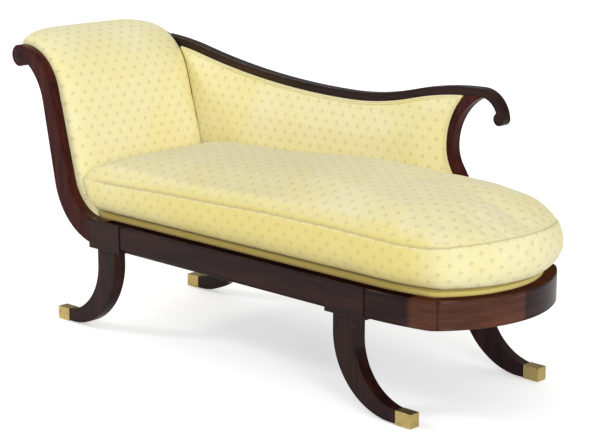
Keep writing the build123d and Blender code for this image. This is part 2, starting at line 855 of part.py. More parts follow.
def make_back_pad():
    """Inside back: fills the frame, then stands forward of it with a tapered edge."""
    y_back = y_hessian_low - soft_gap
    base = slab(back_opening(soft_gap, soft_gap, rail_top + soft_gap), wood_inner, y_back)
    stand, low = pad_stand + 1, deck_top + soft_gap
    front = back_opening(stand, soft_gap, low)
    crown = back_opening(stand + back_pad_inset, soft_gap + back_pad_inset, low + back_pad_inset)
    rise = loft(
        [Plane.XZ.offset(-wood_inner) * front, Plane.XZ.offset(-(wood_inner - back_pad_stand)) * crown],
        ruled=True,
    )
    return base + rise


# ---------------------------------------------------------------- seat
deck_head_x = head_block_x - pad_foot_run + soft_gap


def make_deck_pad():
    """Upholstered platform inside the rails, standing a little above them."""
    return plate(seat_plan(deck_head_x, rail_thickness + soft_gap), rail_top, deck_top)


def make_seat_hessian():
    face = seat_plan(head_block_x - block_width / 2 + soft_gap, rail_thickness + soft_gap)
    z_low = spring_level + wire_size
    return plate(face, z_low, z_low + hessian_thickness)


cleat_top = spring_level
cleat_low = cleat_top - cleat_height


def make_spring_cleat():
    """Bar along the inside of the front rail that carries the spring ends."""
    x_low = head_block_x + block_width / 2
    return block(x_low, foot_block_x - block_width / 2, -rail_inner, -rail_inner + cleat_width, cleat_low, cleat_top)


def spring_places():
    """X of each spring along the cleats."""
    first = head_block_x + block_width / 2 + spring_amplitude * 2
    last = foot_block_x - block_width / 2 - spring_amplitude * 2
    step = (last - first) / (spring_count - 1)
    return [first + step * index for index in range(spring_count)]


def make_spring(x_middle):
    """Zigzag wire spring from cleat to cleat, bent flat."""
    y_end = rail_inner - cleat_width / 2
    step = 2 * y_end / spring_bends
    points = [(x_middle, -y_end)]
    for bend in range(spring_bends):
        side = spring_amplitude if bend % 2 else -spring_amplitude
        y_low = -y_end + step * bend
        points.append((x_middle + side, y_low + wire_size))
        points.append((x_middle + side, y_low + step - wire_size))
    points.append((x_middle, y_end))
    wire = offset(Polyline(*points), wire_size / 2, kind=Kind.INTERSECTION)
    return plate(make_face(wire.edges()), spring_level, spring_level + wire_size)


def make_dust_cover():
    """Thin cloth under the seat frame, cut round the leg blocks."""
    sheet = plate(seat_plan(head_block_x - block_width / 2, dust_cover_inset), rail_bottom - dust_cover_thickness, rail_bottom)
    for x_block in (head_block_x, foot_block_x):
        half = block_width / 2 + soft_gap
        notch = block(
            x_block - half, x_block + half, -half_width, -rail_inner + block_inner + soft_gap, 0, rail_top
        )
        sheet = sheet - notch - to_back(notch)
    return sheet


# ---------------------------------------------------------------- loose cushion
def back_notch():
    """Plan of what the cushion leaves free behind it for the back panel and the strut."""
    y_back = wood_inner - back_pad_stand - cushion_back_gap
    notch_x = strut_x + strut_foot_shift + strut_foot_width + cushion_notch_gap
    return polygon(
        (-half_length, y_back), (notch_x, y_back), (notch_x + notch_run, half_width),
        (notch_x + notch_run, frame_width), (-half_length, frame_width),
    )


def cushion_plan(head_run, inset):
    """The cushion's plan: the seat's own curve, moved to overhang the foot, less the notch."""
    x_head = head_block_x - head_run
    shift = foot_overhang + inset
    full = Pos(shift, 0) * seat_plan(x_head - shift, inset)
    rest = (full - back_notch()).faces().sort_by(SortBy.AREA)[-1]
    return fillet(rest.vertices().group_by(Axis.X)[0], cushion_corner_radius)


def make_seat_cushion():
    """Loose box cushion with a full crown. Its head end leans back against the head pad."""
    seam = cushion_bottom + boxing_height
    top = cushion_plan(cushion_head_top_run, cushion_front_inset)
    bottom = cushion_plan(cushion_head_bottom_run, cushion_front_inset)
    boxing = loft([Plane.XY.offset(cushion_bottom) * bottom, Plane.XY.offset(seam) * top], ruled=True)
    levels = []
    for share, rise in crown_levels:
        level = Pos(foot_block_x, 0) * scale(Pos(-foot_block_x, 0) * top, by=share)
        levels.append(Plane.XY.offset(seam + rise) * level)
    return boxing + loft(levels, ruled=True)


# ---------------------------------------------------------------- fasteners
def make_leg_bolt(x_block):
    """Plain bolt down through the block into the leg."""
    x_bolt, y_bolt = bolt_place(x_block)
    z_low, z_high = block_bottom - bolt_down + fastener_gap, rail_bottom + bolt_up - fastener_gap
    return rod(bolt_radius, z_high - z_low, (x_bolt, y_bolt, (z_low + z_high) / 2))


def both_sides(solids):
    """The front-side solids with their copies on the back side."""
    return [*solids, *[to_back(solid) for solid in solids]]


def group(solids):
    """Separate solids of one kind, kept together."""
    return Compound(children=[part for solid in solids for part in solid.solids()])


# ---------------------------------------------------------------- write every piece
def all_parts():
    blocks = {"head": (head_block_x, -1), "foot": (foot_block_x, 1)}
    parts = {
        "front_rail": make_front_rail(),
        "back_rail": to_back(make_front_rail()),
        "foot_corner_front": make_foot_corner(),
        "foot_corner_back": to_back(make_foot_corner()),
        "foot_end_rail": make_foot_end_rail(),
        "head_rail": make_head_rail(),
        "seat_stretcher": make_stretcher(),
        "foot_board": make_foot_board(),
        "head_post_front": make_head_post(),
        "head_post_back": to_back(make_head_post()),
        "scroll_rosettes": group(both_sides([make_rosette()])),
        "head_top_rail": make_head_top_rail(),
        "head_mid_rail": make_head_mid_rail(),
        "crest_rail": make_crest_rail(),
        "foot_strut": make_foot_strut(),
        "back_tack_rail": make_back_tack_rail(),
        "back_uprights": group([make_back_uprights()]),
        "head_webbing": group(make_head_webbing()),
        "head_pad": make_head_pad(),
        "outside_head_panel": make_outside_head_panel(),
        "back_hessian": make_back_hessian(),
        "back_pad": make_back_pad(),
        "outside_back_panel": make_outside_back_panel(),
        "spring_cleat_front": make_spring_cleat(),
        "spring_cleat_back": to_back(make_spring_cleat()),
        "seat_springs": group([make_spring(x) for x in spring_places()]),
        "seat_hessian": make_seat_hessian(),
        "deck_pad": make_deck_pad(),
        "dust_cover": make_dust_cover(),
        "seat_cushion": make_seat_cushion(),
        "leg_bolts": group(both_sides([make_leg_bolt(x) for x, way in blocks.values()])),
        "floor_glides": group(both_sides([make_glide(x, way) for x, way in blocks.values()])),
    }
    for end, (x_block, way) in blocks.items():
        pieces = {
            "leg_block": make_leg_block(x_block),
            "sabre_leg": make_leg(x_block, way),
            "toe_cap": make_toe_cap(x_block, way),
        }
        for name, solid in pieces.items():
            parts[f"{name}_front_{end}"] = solid
            parts[f"{name}_back_{end}"] = to_back(solid)
    return parts


os.makedirs("parts", exist_ok=True)
for node, shape in all_parts().items():
    export_step(shape, f"parts/{node}.step")
    print(node, len(shape.solids()), "solid(s)")
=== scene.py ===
"""A recamier dressed for its picture: show wood, brass, fixed upholstery and a loose seat cushion."""

import logging
import math
from collections.abc import Callable, Iterable, Sequence
from dataclasses import dataclass
from enum import Enum

import bmesh
import bpy
from mathutils import Matrix, Vector, kdtree, noise


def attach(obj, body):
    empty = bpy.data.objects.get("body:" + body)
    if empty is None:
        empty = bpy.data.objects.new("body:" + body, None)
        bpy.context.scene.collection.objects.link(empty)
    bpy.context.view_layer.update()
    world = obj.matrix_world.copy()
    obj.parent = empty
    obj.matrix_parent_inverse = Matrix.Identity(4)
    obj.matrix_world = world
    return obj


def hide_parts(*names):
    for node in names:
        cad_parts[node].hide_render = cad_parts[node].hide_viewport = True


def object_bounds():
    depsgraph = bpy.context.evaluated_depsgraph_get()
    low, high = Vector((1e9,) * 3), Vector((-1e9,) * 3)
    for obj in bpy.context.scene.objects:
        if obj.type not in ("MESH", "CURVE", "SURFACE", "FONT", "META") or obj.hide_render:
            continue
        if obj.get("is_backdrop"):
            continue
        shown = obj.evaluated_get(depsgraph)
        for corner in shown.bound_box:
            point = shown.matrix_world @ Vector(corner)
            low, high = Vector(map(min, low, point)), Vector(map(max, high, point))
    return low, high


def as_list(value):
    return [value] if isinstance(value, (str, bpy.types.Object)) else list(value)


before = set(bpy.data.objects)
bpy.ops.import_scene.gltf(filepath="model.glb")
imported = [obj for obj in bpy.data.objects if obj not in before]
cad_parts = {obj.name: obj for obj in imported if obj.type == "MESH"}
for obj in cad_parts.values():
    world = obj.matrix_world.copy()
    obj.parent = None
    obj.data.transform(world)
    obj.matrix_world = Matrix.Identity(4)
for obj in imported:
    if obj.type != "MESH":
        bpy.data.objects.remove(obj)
cad_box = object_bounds()
log = logging.getLogger("recamier")

FRAME_BODY, CUSHION_BODY = "frame", "cushion"
FLAT_ANGLE, CLOTH_CREASE = 0.4, 75.0
X, Y, Z = Vector((1, 0, 0)), Vector((0, 1, 0)), Vector((0, 0, 1))

BMesh, BMFace = bmesh.types.BMesh, bmesh.types.BMFace
BMEdge, BMVert = bmesh.types.BMEdge, bmesh.types.BMVert
Layer = bmesh.types.BMLayerItem
Material, Object, Socket = bpy.types.Material, bpy.types.Object, bpy.types.NodeSocket
Shade = tuple[int, int, int]
Shades = tuple[Shade, Shade, Shade]
Station = tuple[int, float, float]
Blob = tuple[tuple[float, float], tuple[float, float], float]
Value = Socket | float | Sequence[float]


# ---------------------------------------------------------------- small tools
def paint(red: int, green: int, blue: int) -> tuple[float, ...]:
    """Linear colour, with full opacity, of a shade given from 0 to 255 as the eye reads it."""
    parts = [value / 255 for value in (red, green, blue)]
    return (*[p / 12.92 if p <= 0.04045 else ((p + 0.055) / 1.055) ** 2.4 for p in parts], 1.0)


def ease(value: float, start: float = 0.0, over: float = 1.0) -> float:
    """Smooth step from 0 to 1 that begins at a start and is over after a width."""
    clipped = min(max((value - start) / over, 0.0), 1.0)
    return clipped * clipped * (3 - 2 * clipped)


@dataclass(frozen=True)
class Wave:
    """Smooth unsteady wave in a cloth, the same each time: height, waves to the metre each way, which one."""

    height: float
    along: float
    across: float
    seed: float

    def at(self, run: float, side: float, fade: float = 1.0, other: float = 0.0) -> float:
        """How far the cloth stands out at a place, faded by a factor; other picks another wave."""
        place = Vector((run * self.along, side * self.across, self.seed + other))
        return self.height * fade * noise.noise(place)


def onto(place: Vector, **fixed: float) -> Vector:
    """Copy of a place with some of its coordinates changed.

    Args:
        place: The place.
        **fixed: The new coordinates, by axis.

    Returns:
        The copy.
    """
    made = place.copy()
    for axis, value in fixed.items():
        setattr(made, axis, value)
    return made


def put(name: str, data: bpy.types.ID, turn: Sequence[float] = (0, 0, 0)) -> Object:
    """Put a new object in the scene, turned by angles in degrees.

    Args:
        name: Its name.
        data: What it shows.
        turn: Angles about the axes, in degrees.

    Returns:
        The object.
    """
    made = bpy.data.objects.new(name, data)
    made.rotation_euler = [math.radians(part) for part in turn]
    bpy.context.scene.collection.objects.link(made)
    return made


def add_piece(name: str, bm: BMesh, finish: Material, sharp: float = 60.0, body: str = FRAME_BODY) -> Object:
    """Put a finished bmesh in the scene as one smooth piece that rides on a body.

    Args:
        name: The piece's name.
        bm: Its shape, which is used up.
        finish: Its material.
        sharp: Angle in degrees past which an edge stays crisp.
        body: The body that it rides on.

    Returns:
        The piece.
    """
    mesh = bpy.data.meshes.new(name)
    bm.to_mesh(mesh)
    bm.free()
    mesh.materials.append(finish)
    mesh.shade_smooth()
    mesh.set_sharp_from_angle(angle=math.radians(sharp))
    piece = put(name, mesh)
    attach(piece, body)
    log.info("%s: %d faces on %s", name, len(mesh.polygons), body)
    return piece


def joined_copy(node: str, flatten: float = 0.0) -> BMesh:
    """Copy of a solid's mesh with its loose triangles joined.

    Args:
        node: The solid's name.
        flatten: Angle in degrees below which neighbouring faces become one.

    Returns:
        The joined copy.
    """
    bm = bmesh.new()
    bm.from_mesh(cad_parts[node].data)
    bmesh.ops.remove_doubles(bm, verts=bm.verts, dist=2e-5)
    if flatten:
        bmesh.ops.dissolve_limit(bm, angle_limit=math.radians(flatten), verts=bm.verts, edges=bm.edges)
    return bm


def section(node: str, axis: Vector, level: float) -> list[Vector]:
    """Outline of a solid where a plane cuts it.

    Args:
        node: The solid's name.
        axis: Unit normal of the plane.
        level: Its distance from the origin along the normal.

    Returns:
        The longest closed outline, corner by corner, from its place nearest to the head.
    """
    bm = joined_copy(node)
    everything = [*bm.verts, *bm.edges, *bm.faces]
    cut = bmesh.ops.bisect_plane(bm, geom=everything, dist=1e-7, plane_co=axis * level, plane_no=axis)
    edges = [part for part in cut["geom_cut"] if isinstance(part, BMEdge)]
    loops = []
    while edges:
        first = edges.pop()
        loop, tip = [first.verts[0].co.copy()], first.verts[1]
        while True:
            loop.append(tip.co.copy())
            onward = next((edge for edge in tip.link_edges if edge in edges), None)
            if onward is None:
                break
            edges.remove(onward)
            tip = onward.other_vert(tip)
        loops.append(loop[:-1] if (loop[0] - loop[-1]).length < 1e-6 else loop)
    bm.free()
    outline = max(loops, key=perimeter)
    start = outline.index(min(outline, key=lambda point: point.x))
    return outline[start:] + outline[:start]


def perimeter(points: Sequence[Vector]) -> float:
    """Length round a closed outline."""
    return sum((points[i] - points[i - 1]).length for i in range(len(points)))


def even(points: Sequence[Vector], pitch: float, soften: int = 2) -> list[Vector]:
    """Closed outline stepped evenly, with its facets rounded off.

    Args:
        points: The outline's corners.
        pitch: Length of a step.
        soften: How many times each point moves between its neighbours.

    Returns:
        The new corners.
    """
    total = perimeter(points)
    count = max(8, round(total / pitch))
    step, made, travelled, target = total / count, [], 0.0, 0.0
    for index in range(len(points)):
        start, end = points[index], points[(index + 1) % len(points)]
        length = (end - start).length
        while target <= travelled + length and len(made) < count:
            made.append(start.lerp(end, (target - travelled) / max(length, 1e-9)))
            target += step
        travelled += length
    for _ in range(soften):
        made = [made[i] * 0.5 + (made[i - 1] + made[(i + 1) % len(made)]) * 0.25 for i in range(len(made))]
    return made


def nearest_on(points: Sequence[Vector]) -> Callable[[Vector], tuple[Vector, int, float]]:
    """Finder of the point nearest to a place, with its number and its distance.

    Args:
        points: Where to look.

    Returns:
        The finder.
    """
    tree = kdtree.KDTree(len(points))
    for index, point in enumerate(points):
        tree.insert(point, index)
    tree.balance()
    return tree.find


def flat_face(bm: BMesh, points: Sequence[Vector], facing: Vector) -> BMFace:
    """One face on a closed outline, turned to face a direction.

    Args:
        bm: The mesh.
        points: The outline's corners.
        facing: The direction.

    Returns:
        The face.
    """
    face = bm.faces.new([bm.verts.new(point) for point in points])
    face.normal_update()
    if face.normal.dot(facing) < 0:
        face.normal_flip()
    return face


def rim_of(bm: BMesh) -> list[BMEdge]:
    """Edges round the open part of a mesh."""
    return [edge for edge in bm.edges if edge.is_boundary]


def extruded(bm: BMesh, edges: Sequence[BMEdge]) -> tuple[list[BMEdge], list[BMVert]]:
    """Extrude edges where they are.

    Args:
        bm: The mesh.
        edges: The edges to extrude.

    Returns:
        The new edges and the new corners.
    """
    made = bmesh.ops.extrude_edge_only(bm, edges=edges)["geom"]
    return (
        [part for part in made if isinstance(part, BMEdge)],
        [part for part in made if isinstance(part, BMVert)],
    )


def lay_cloth(faces: Iterable[BMFace], uv: Layer, spread: Callable[[BMVert], Sequence[float]]) -> None:
    """Write on each face the place of its corners on the flat cloth.

    Args:
        faces: The faces.
        uv: Layer of the cloth coordinates.
        spread: A corner's place on the cloth.
    """
    for face in faces:
        for loop in face.loops:
            loop[uv].uv = spread(loop.vert)


def net(bm: BMesh, face: BMFace, rings: Sequence[float], pitch: float) -> None:
    """Cut a flat face into rings along its edge and a square net inside them.

    Args:
        bm: The mesh.
        face: The flat face.
        rings: Width of each ring, from the edge inwards.
        pitch: Step of the net.
    """
    for width in rings:
        bmesh.ops.inset_region(bm, faces=[face], thickness=width, use_even_offset=False, use_boundary=True)
    normal = face.normal.copy()
    across = [axis for axis in (X, Y, Z) if abs(axis.dot(normal)) < 0.5]
    inner = [face]
    for axis in across:
        low = min(v.co.dot(axis) for part in inner for v in part.verts)
        high = max(v.co.dot(axis) for part in inner for v in part.verts)
        level = math.ceil((low + 0.3 * pitch) / pitch) * pitch
        while level < high - 0.3 * pitch:
            around = [part for face in inner for part in (*face.edges, *face.verts)]
            geometry = list(dict.fromkeys([*inner, *around]))
            cut = bmesh.ops.bisect_plane(bm, geom=geometry, dist=1e-6, plane_co=axis * level, plane_no=axis)
            parts = [part for part in [*cut["geom"], *inner] if part.is_valid and isinstance(part, BMFace)]
            inner = list(dict.fromkeys(parts))
            level += pitch
    near = dict.fromkeys(vert for part in inner for vert in part.verts)
    bmesh.ops.remove_doubles(bm, verts=list(near), dist=0.22 * pitch)


def close_flat(
    bm: BMesh, edges: Sequence[BMEdge], ring: Sequence[float] = (0.012,), pitch: float = 0.05
) -> None:
    """Fill a flat outline, and cut the new face into rings and a net.

    Args:
        bm: The mesh.
        edges: The outline.
        ring: Widths of the rings.
        pitch: Step of the net.
    """
    face = bmesh.ops.contextual_create(bm, geom=edges)["faces"][0]
    face.normal_update()
    net(bm, face, ring, pitch)


def stations_up(lengths: Sequence[float], pitch: float) -> list[Station]:
    """Stations along the legs of a curve: leg, share of the leg, and run along the cloth.

    Args:
        lengths: Length of each leg.
        pitch: Step along the cloth.

    Returns:
        The stations.
    """
    stations, travelled = [], 0.0
    for leg, length in enumerate(lengths):
        steps, last = max(6, round(length / pitch)), leg == len(lengths) - 1
        stations += [(leg, step / steps, travelled + length * step / steps) for step in range(steps + last)]
        travelled += length
    return stations


def carry(
    bm: BMesh, stations: Sequence[Station], places: Callable[[int, float], Sequence[Vector]]
) -> tuple[list[list[BMVert]], list[list[BMEdge]]]:
    """Carry a closed ring of corners from station to station.

    Args:
        bm: The mesh.
        stations: Leg, share and run of each station.
        places: Where the ring's corners stand at a leg and a share of it.

    Returns:
        Each station's corners in the ring's order, and the edges of the first ring and of the last.
    """
    rings = [[bm.verts.new(place) for place in places(*stations[0][:2])]]
    edges = first = [bm.edges.new((rings[0][i - 1], vert)) for i, vert in enumerate(rings[0])]
    for leg, share, _ in stations[1:]:
        edges, fresh = extruded(bm, edges)
        order = {}
        for vert in fresh:
            before = next(edge.other_vert(vert) for edge in vert.link_edges if edge not in edges)
            order[vert] = rings[-1].index(before)
        rings.append(sorted(fresh, key=lambda vert: order[vert]))
        for vert, place in zip(rings[-1], places(leg, share)):
            vert.co = place
    return rings, [first, edges]


def outward(bm: BMesh) -> None:
    """Turn every face of a closed shape outwards.

    Args:
        bm: The shape.
    """
    bmesh.ops.recalc_face_normals(bm, faces=bm.faces)
    if bm.calc_volume(signed=True) < 0:
        bmesh.ops.reverse_faces(bm, faces=bm.faces)


def tube(name: str, path: Sequence[Vector], radius: float, finish: Material, closed: bool = False) -> None:
    """Round cord of cloth along a path, as a mesh.

    Args:
        name: The piece's name.
        path: Points along its middle.
        radius: Its radius.
        finish: Its material.
        closed: Whether its ends meet.
    """
    curve = bpy.data.curves.new(name, "CURVE")
    curve.dimensions, curve.bevel_depth, curve.bevel_resolution = "3D", radius, 2
    curve.use_fill_caps = not closed
    line = curve.splines.new("POLY")
    line.points.add(len(path) - 1)
    for point, place in zip(line.points, path):
        point.co = (*place, 1)
    line.use_cyclic_u = closed
    carrier = bpy.data.objects.new(name + "_line", curve)
    mesh = bpy.data.meshes.new_from_object(carrier)
    bm = bmesh.new()
    bm.from_mesh(mesh)
    bmesh.ops.remove_doubles(bm, verts=bm.verts, dist=1e-6)
    bmesh.ops.recalc_face_normals(bm, faces=bm.faces)
    bpy.data.objects.remove(carrier)
    bpy.data.curves.remove(curve)
    bpy.data.meshes.remove(mesh)
    add_piece(name, bm, finish)


def subdivide(piece: Object) -> None:
    """Finish a soft piece with a live subdivision surface.

    Args:
        piece: The piece.
    """
    smoother = piece.modifiers.new("Smooth", "SUBSURF")
    smoother.levels = smoother.render_levels = 1
    smoother.use_limit_surface = False


# ---------------------------------------------------------------- finishes
class Tree:
    """Node tree of a material or a world, put together step by step."""

    def __init__(self, owner: Material | bpy.types.World) -> None:
        """Start on the owner's own tree."""
        owner.use_nodes = True
        self.tree = owner.node_tree

    def feed(self, socket: Socket, value: Value) -> None:
        """Link a socket to another, or give it a plain value.

        Args:
            socket: The socket.
            value: What it gets.
        """
        if isinstance(value, Socket):
            self.tree.links.new(value, socket)
        else:
            socket.default_value = value

    def node(self, kind: str, inputs: dict[int | str, Value], **settings: object) -> bpy.types.Node:
        """Add a node.

        Args:
            kind: Its Blender type.
            inputs: What each of its sockets gets.
            **settings: Its other properties.

        Returns:
            The node.
        """
        made = self.tree.nodes.new(kind)
        for key, value in settings.items():
            setattr(made, key, value)
        for key, value in inputs.items():
            self.feed(made.inputs[key], value)
        return made

    def maths(self, operation: str, *values: Value) -> Socket:
        """One sum on numbers."""
        return self.node("ShaderNodeMath", dict(enumerate(values)), operation=operation).outputs[0]

    def times(self, first: Value, second: Value) -> Socket:
        """Product of two numbers."""
        return self.maths("MULTIPLY", first, second)


class Recipe(Tree):
    """Node tree of one material, with the steps that finishes share."""

    def __init__(self, name: str) -> None:
        """Start a material with one Principled shader.

        Args:
            name: The material's name.
        """
        self.material = bpy.data.materials.new(name)
        super().__init__(self.material)
        self.shader = self.tree.nodes["Principled BSDF"]

    def step(self, value: Value, low: float, high: float) -> Socket:
        """Smooth step from 0 at low to 1 at high; low may be the larger of the two."""
        inputs = {0: value, 1: low, 2: high, 3: 0.0, 4: 1.0}
        return self.node("ShaderNodeMapRange", inputs, interpolation_type="SMOOTHSTEP").outputs[0]

    def mix(self, factor: Value, first: Value, second: Value) -> Socket:
        """Mix of two colours."""
        return self.node("ShaderNodeMix", {0: factor, 6: first, 7: second}, data_type="RGBA").outputs[2]

    def between(self, value: Value, low: float, high: float, first: Shade, second: Shade) -> Socket:
        """Colour that goes from one shade to another as a value goes from low to high."""
        return self.mix(self.step(value, low, high), paint(*first), paint(*second))

    def wash(self, tone: Value, shade: Shade, part: Value, share: float) -> Socket:
        """Colour turned to a shade by a share, where a part from 0 to 1 shows."""
        return self.mix(self.times(part, share), tone, paint(*shade))

    def grain(self, place: Value, scale: float, detail: float = 4.0, distortion: float = 0.0) -> Socket:
        """Noise from 0 to 1 at a scale."""
        inputs = {"Vector": place, "Scale": scale, "Detail": detail, "Distortion": distortion}
        return self.node("ShaderNodeTexNoise", inputs).outputs["Fac"]

    def scaled(self, place: Value, scale: Sequence[float]) -> Socket:
        """A place, scaled along each axis."""
        return self.node("ShaderNodeMapping", {"Vector": place, "Scale": scale}).outputs[0]

    def stretched(self, *scale: float) -> Socket:
        """Object coordinates, scaled along each axis."""
        return self.scaled(self.node("ShaderNodeTexCoord", {}).outputs["Object"], scale)

    def axes(self, place: Value) -> Sequence[Socket]:
        """The three parts of a place."""
        return self.node("ShaderNodeSeparateXYZ", {0: place}).outputs

    def marked(self, name: str) -> Socket:
        """What the mesh says at each corner under a name."""
        return self.node("ShaderNodeAttribute", {}, attribute_name=name).outputs["Fac"]

    def bump(self, height: Value, strength: float, distance: float, **under: Value) -> Socket:
        """Normal from a height, over another one where given as Normal."""
        inputs = {"Height": height, "Strength": strength, "Distance": distance, **under}
        return self.node("ShaderNodeBump", inputs).outputs[0]

    def finish(self, **inputs: Value) -> Material:
        """Set the shader's sockets, named with underscores, and hand the material over.

        Args:
            **inputs: What the shader's sockets get.

        Returns:
            The material.
        """
        for key, value in inputs.items():
            self.feed(self.shader.inputs[key.replace("_", " ")], value)
        return self.material


class Grain(Enum):
    """Which way a piece's wood grain runs: its scale along each axis."""

    LENGTHWISE = (1.0, 14.0, 14.0)
    UPRIGHT = (14.0, 14.0, 1.0)
    AROUND = (1.6, 1.6, 16.0)


@dataclass(frozen=True)
class Mahogany:
    """Stained mahogany under a thin satin polish, with painted light: paler shades past a place along the
    piece where asked.
    """

    name: str
    grain: Grain
    shades: Shades = ((30, 14, 13), (48, 24, 21), (68, 37, 30))
    painted_lit_shades: Shades = ((74, 41, 28), (92, 53, 36), (108, 65, 43))
    pore_shade: Shade = (22, 11, 9)
    painted_lit_from: float | None = None
    painted_lit_until: float = 1.0
    painted_lit_over: float = 0.02
    gloss: float = 0.10
    coat: float = 0.26

    def make(self) -> Material:
        """Make the material.

        Returns:
            The material.
        """
        recipe = Recipe("mahogany_" + self.name)
        along = self.grain.value
        place = recipe.stretched(*along)
        figure = recipe.grain(place, 5.0, 6.0, 0.5)
        ribbon = recipe.step(recipe.grain(place, 1.5, 2.0, 0.3), 0.46, 0.74)

        def figured(shades: Shades) -> Socket:
            """Colour of the figure in one set of shades, from dark to light."""
            return recipe.wash(recipe.between(figure, 0.34, 0.70, *shades[:2]), shades[2], ribbon, 0.5)

        tone = figured(self.shades)
        # Painted light: past a place along x and short of one along y, the wood takes paler shades, for where
        # the light falls on it.
        if self.painted_lit_from is not None:
            x, y, _ = recipe.axes(recipe.stretched(1, 1, 1))
            begun = recipe.step(x, self.painted_lit_from, self.painted_lit_from + self.painted_lit_over)
            lasting = recipe.step(y, self.painted_lit_until, self.painted_lit_until - self.painted_lit_over)
            tone = recipe.mix(recipe.times(begun, lasting), tone, figured(self.painted_lit_shades))
        pores = recipe.grain(recipe.stretched(*[a * 3.0 for a in along]), 34.0, 2.0)
        dashes = recipe.step(pores, 0.62, 0.74)
        wear = recipe.grain(recipe.stretched(9, 9, 9), 2.0, 3.0)
        return recipe.finish(
            Base_Color=recipe.wash(tone, self.pore_shade, dashes, 0.35),
            Roughness=recipe.maths("MULTIPLY_ADD", wear, 0.12, 0.24),
            Specular_IOR_Level=self.gloss,
            Coat_Weight=self.coat,
            Coat_Roughness=0.07,
            Normal=recipe.bump(dashes, 0.18, 0.0002, Normal=recipe.bump(figure, 0.05, 0.0005)),
        )


@dataclass(frozen=True)
class PolishedBrass:
    """Cast brass, polished and a little handled."""

    bright: Shade = (236, 210, 136)
    dull: Shade = (178, 148, 82)

    def make(self) -> Material:
        """Make the material.

        Returns:
            The material.
        """
        recipe = Recipe("polished_brass")
        tarnish = recipe.grain(recipe.stretched(1, 1, 1), 60.0, 5.0)
        brushed = recipe.grain(recipe.stretched(20, 20, 300), 8.0, 2.0)
        return recipe.finish(
            Base_Color=recipe.wash(paint(*self.bright), self.dull, recipe.step(tarnish, 0.45, 0.80), 0.55),
            Metallic=1.0,
            Roughness=recipe.maths("MULTIPLY_ADD", tarnish, 0.2, 0.2),
            Normal=recipe.bump(brushed, 0.08, 0.0002),
        )


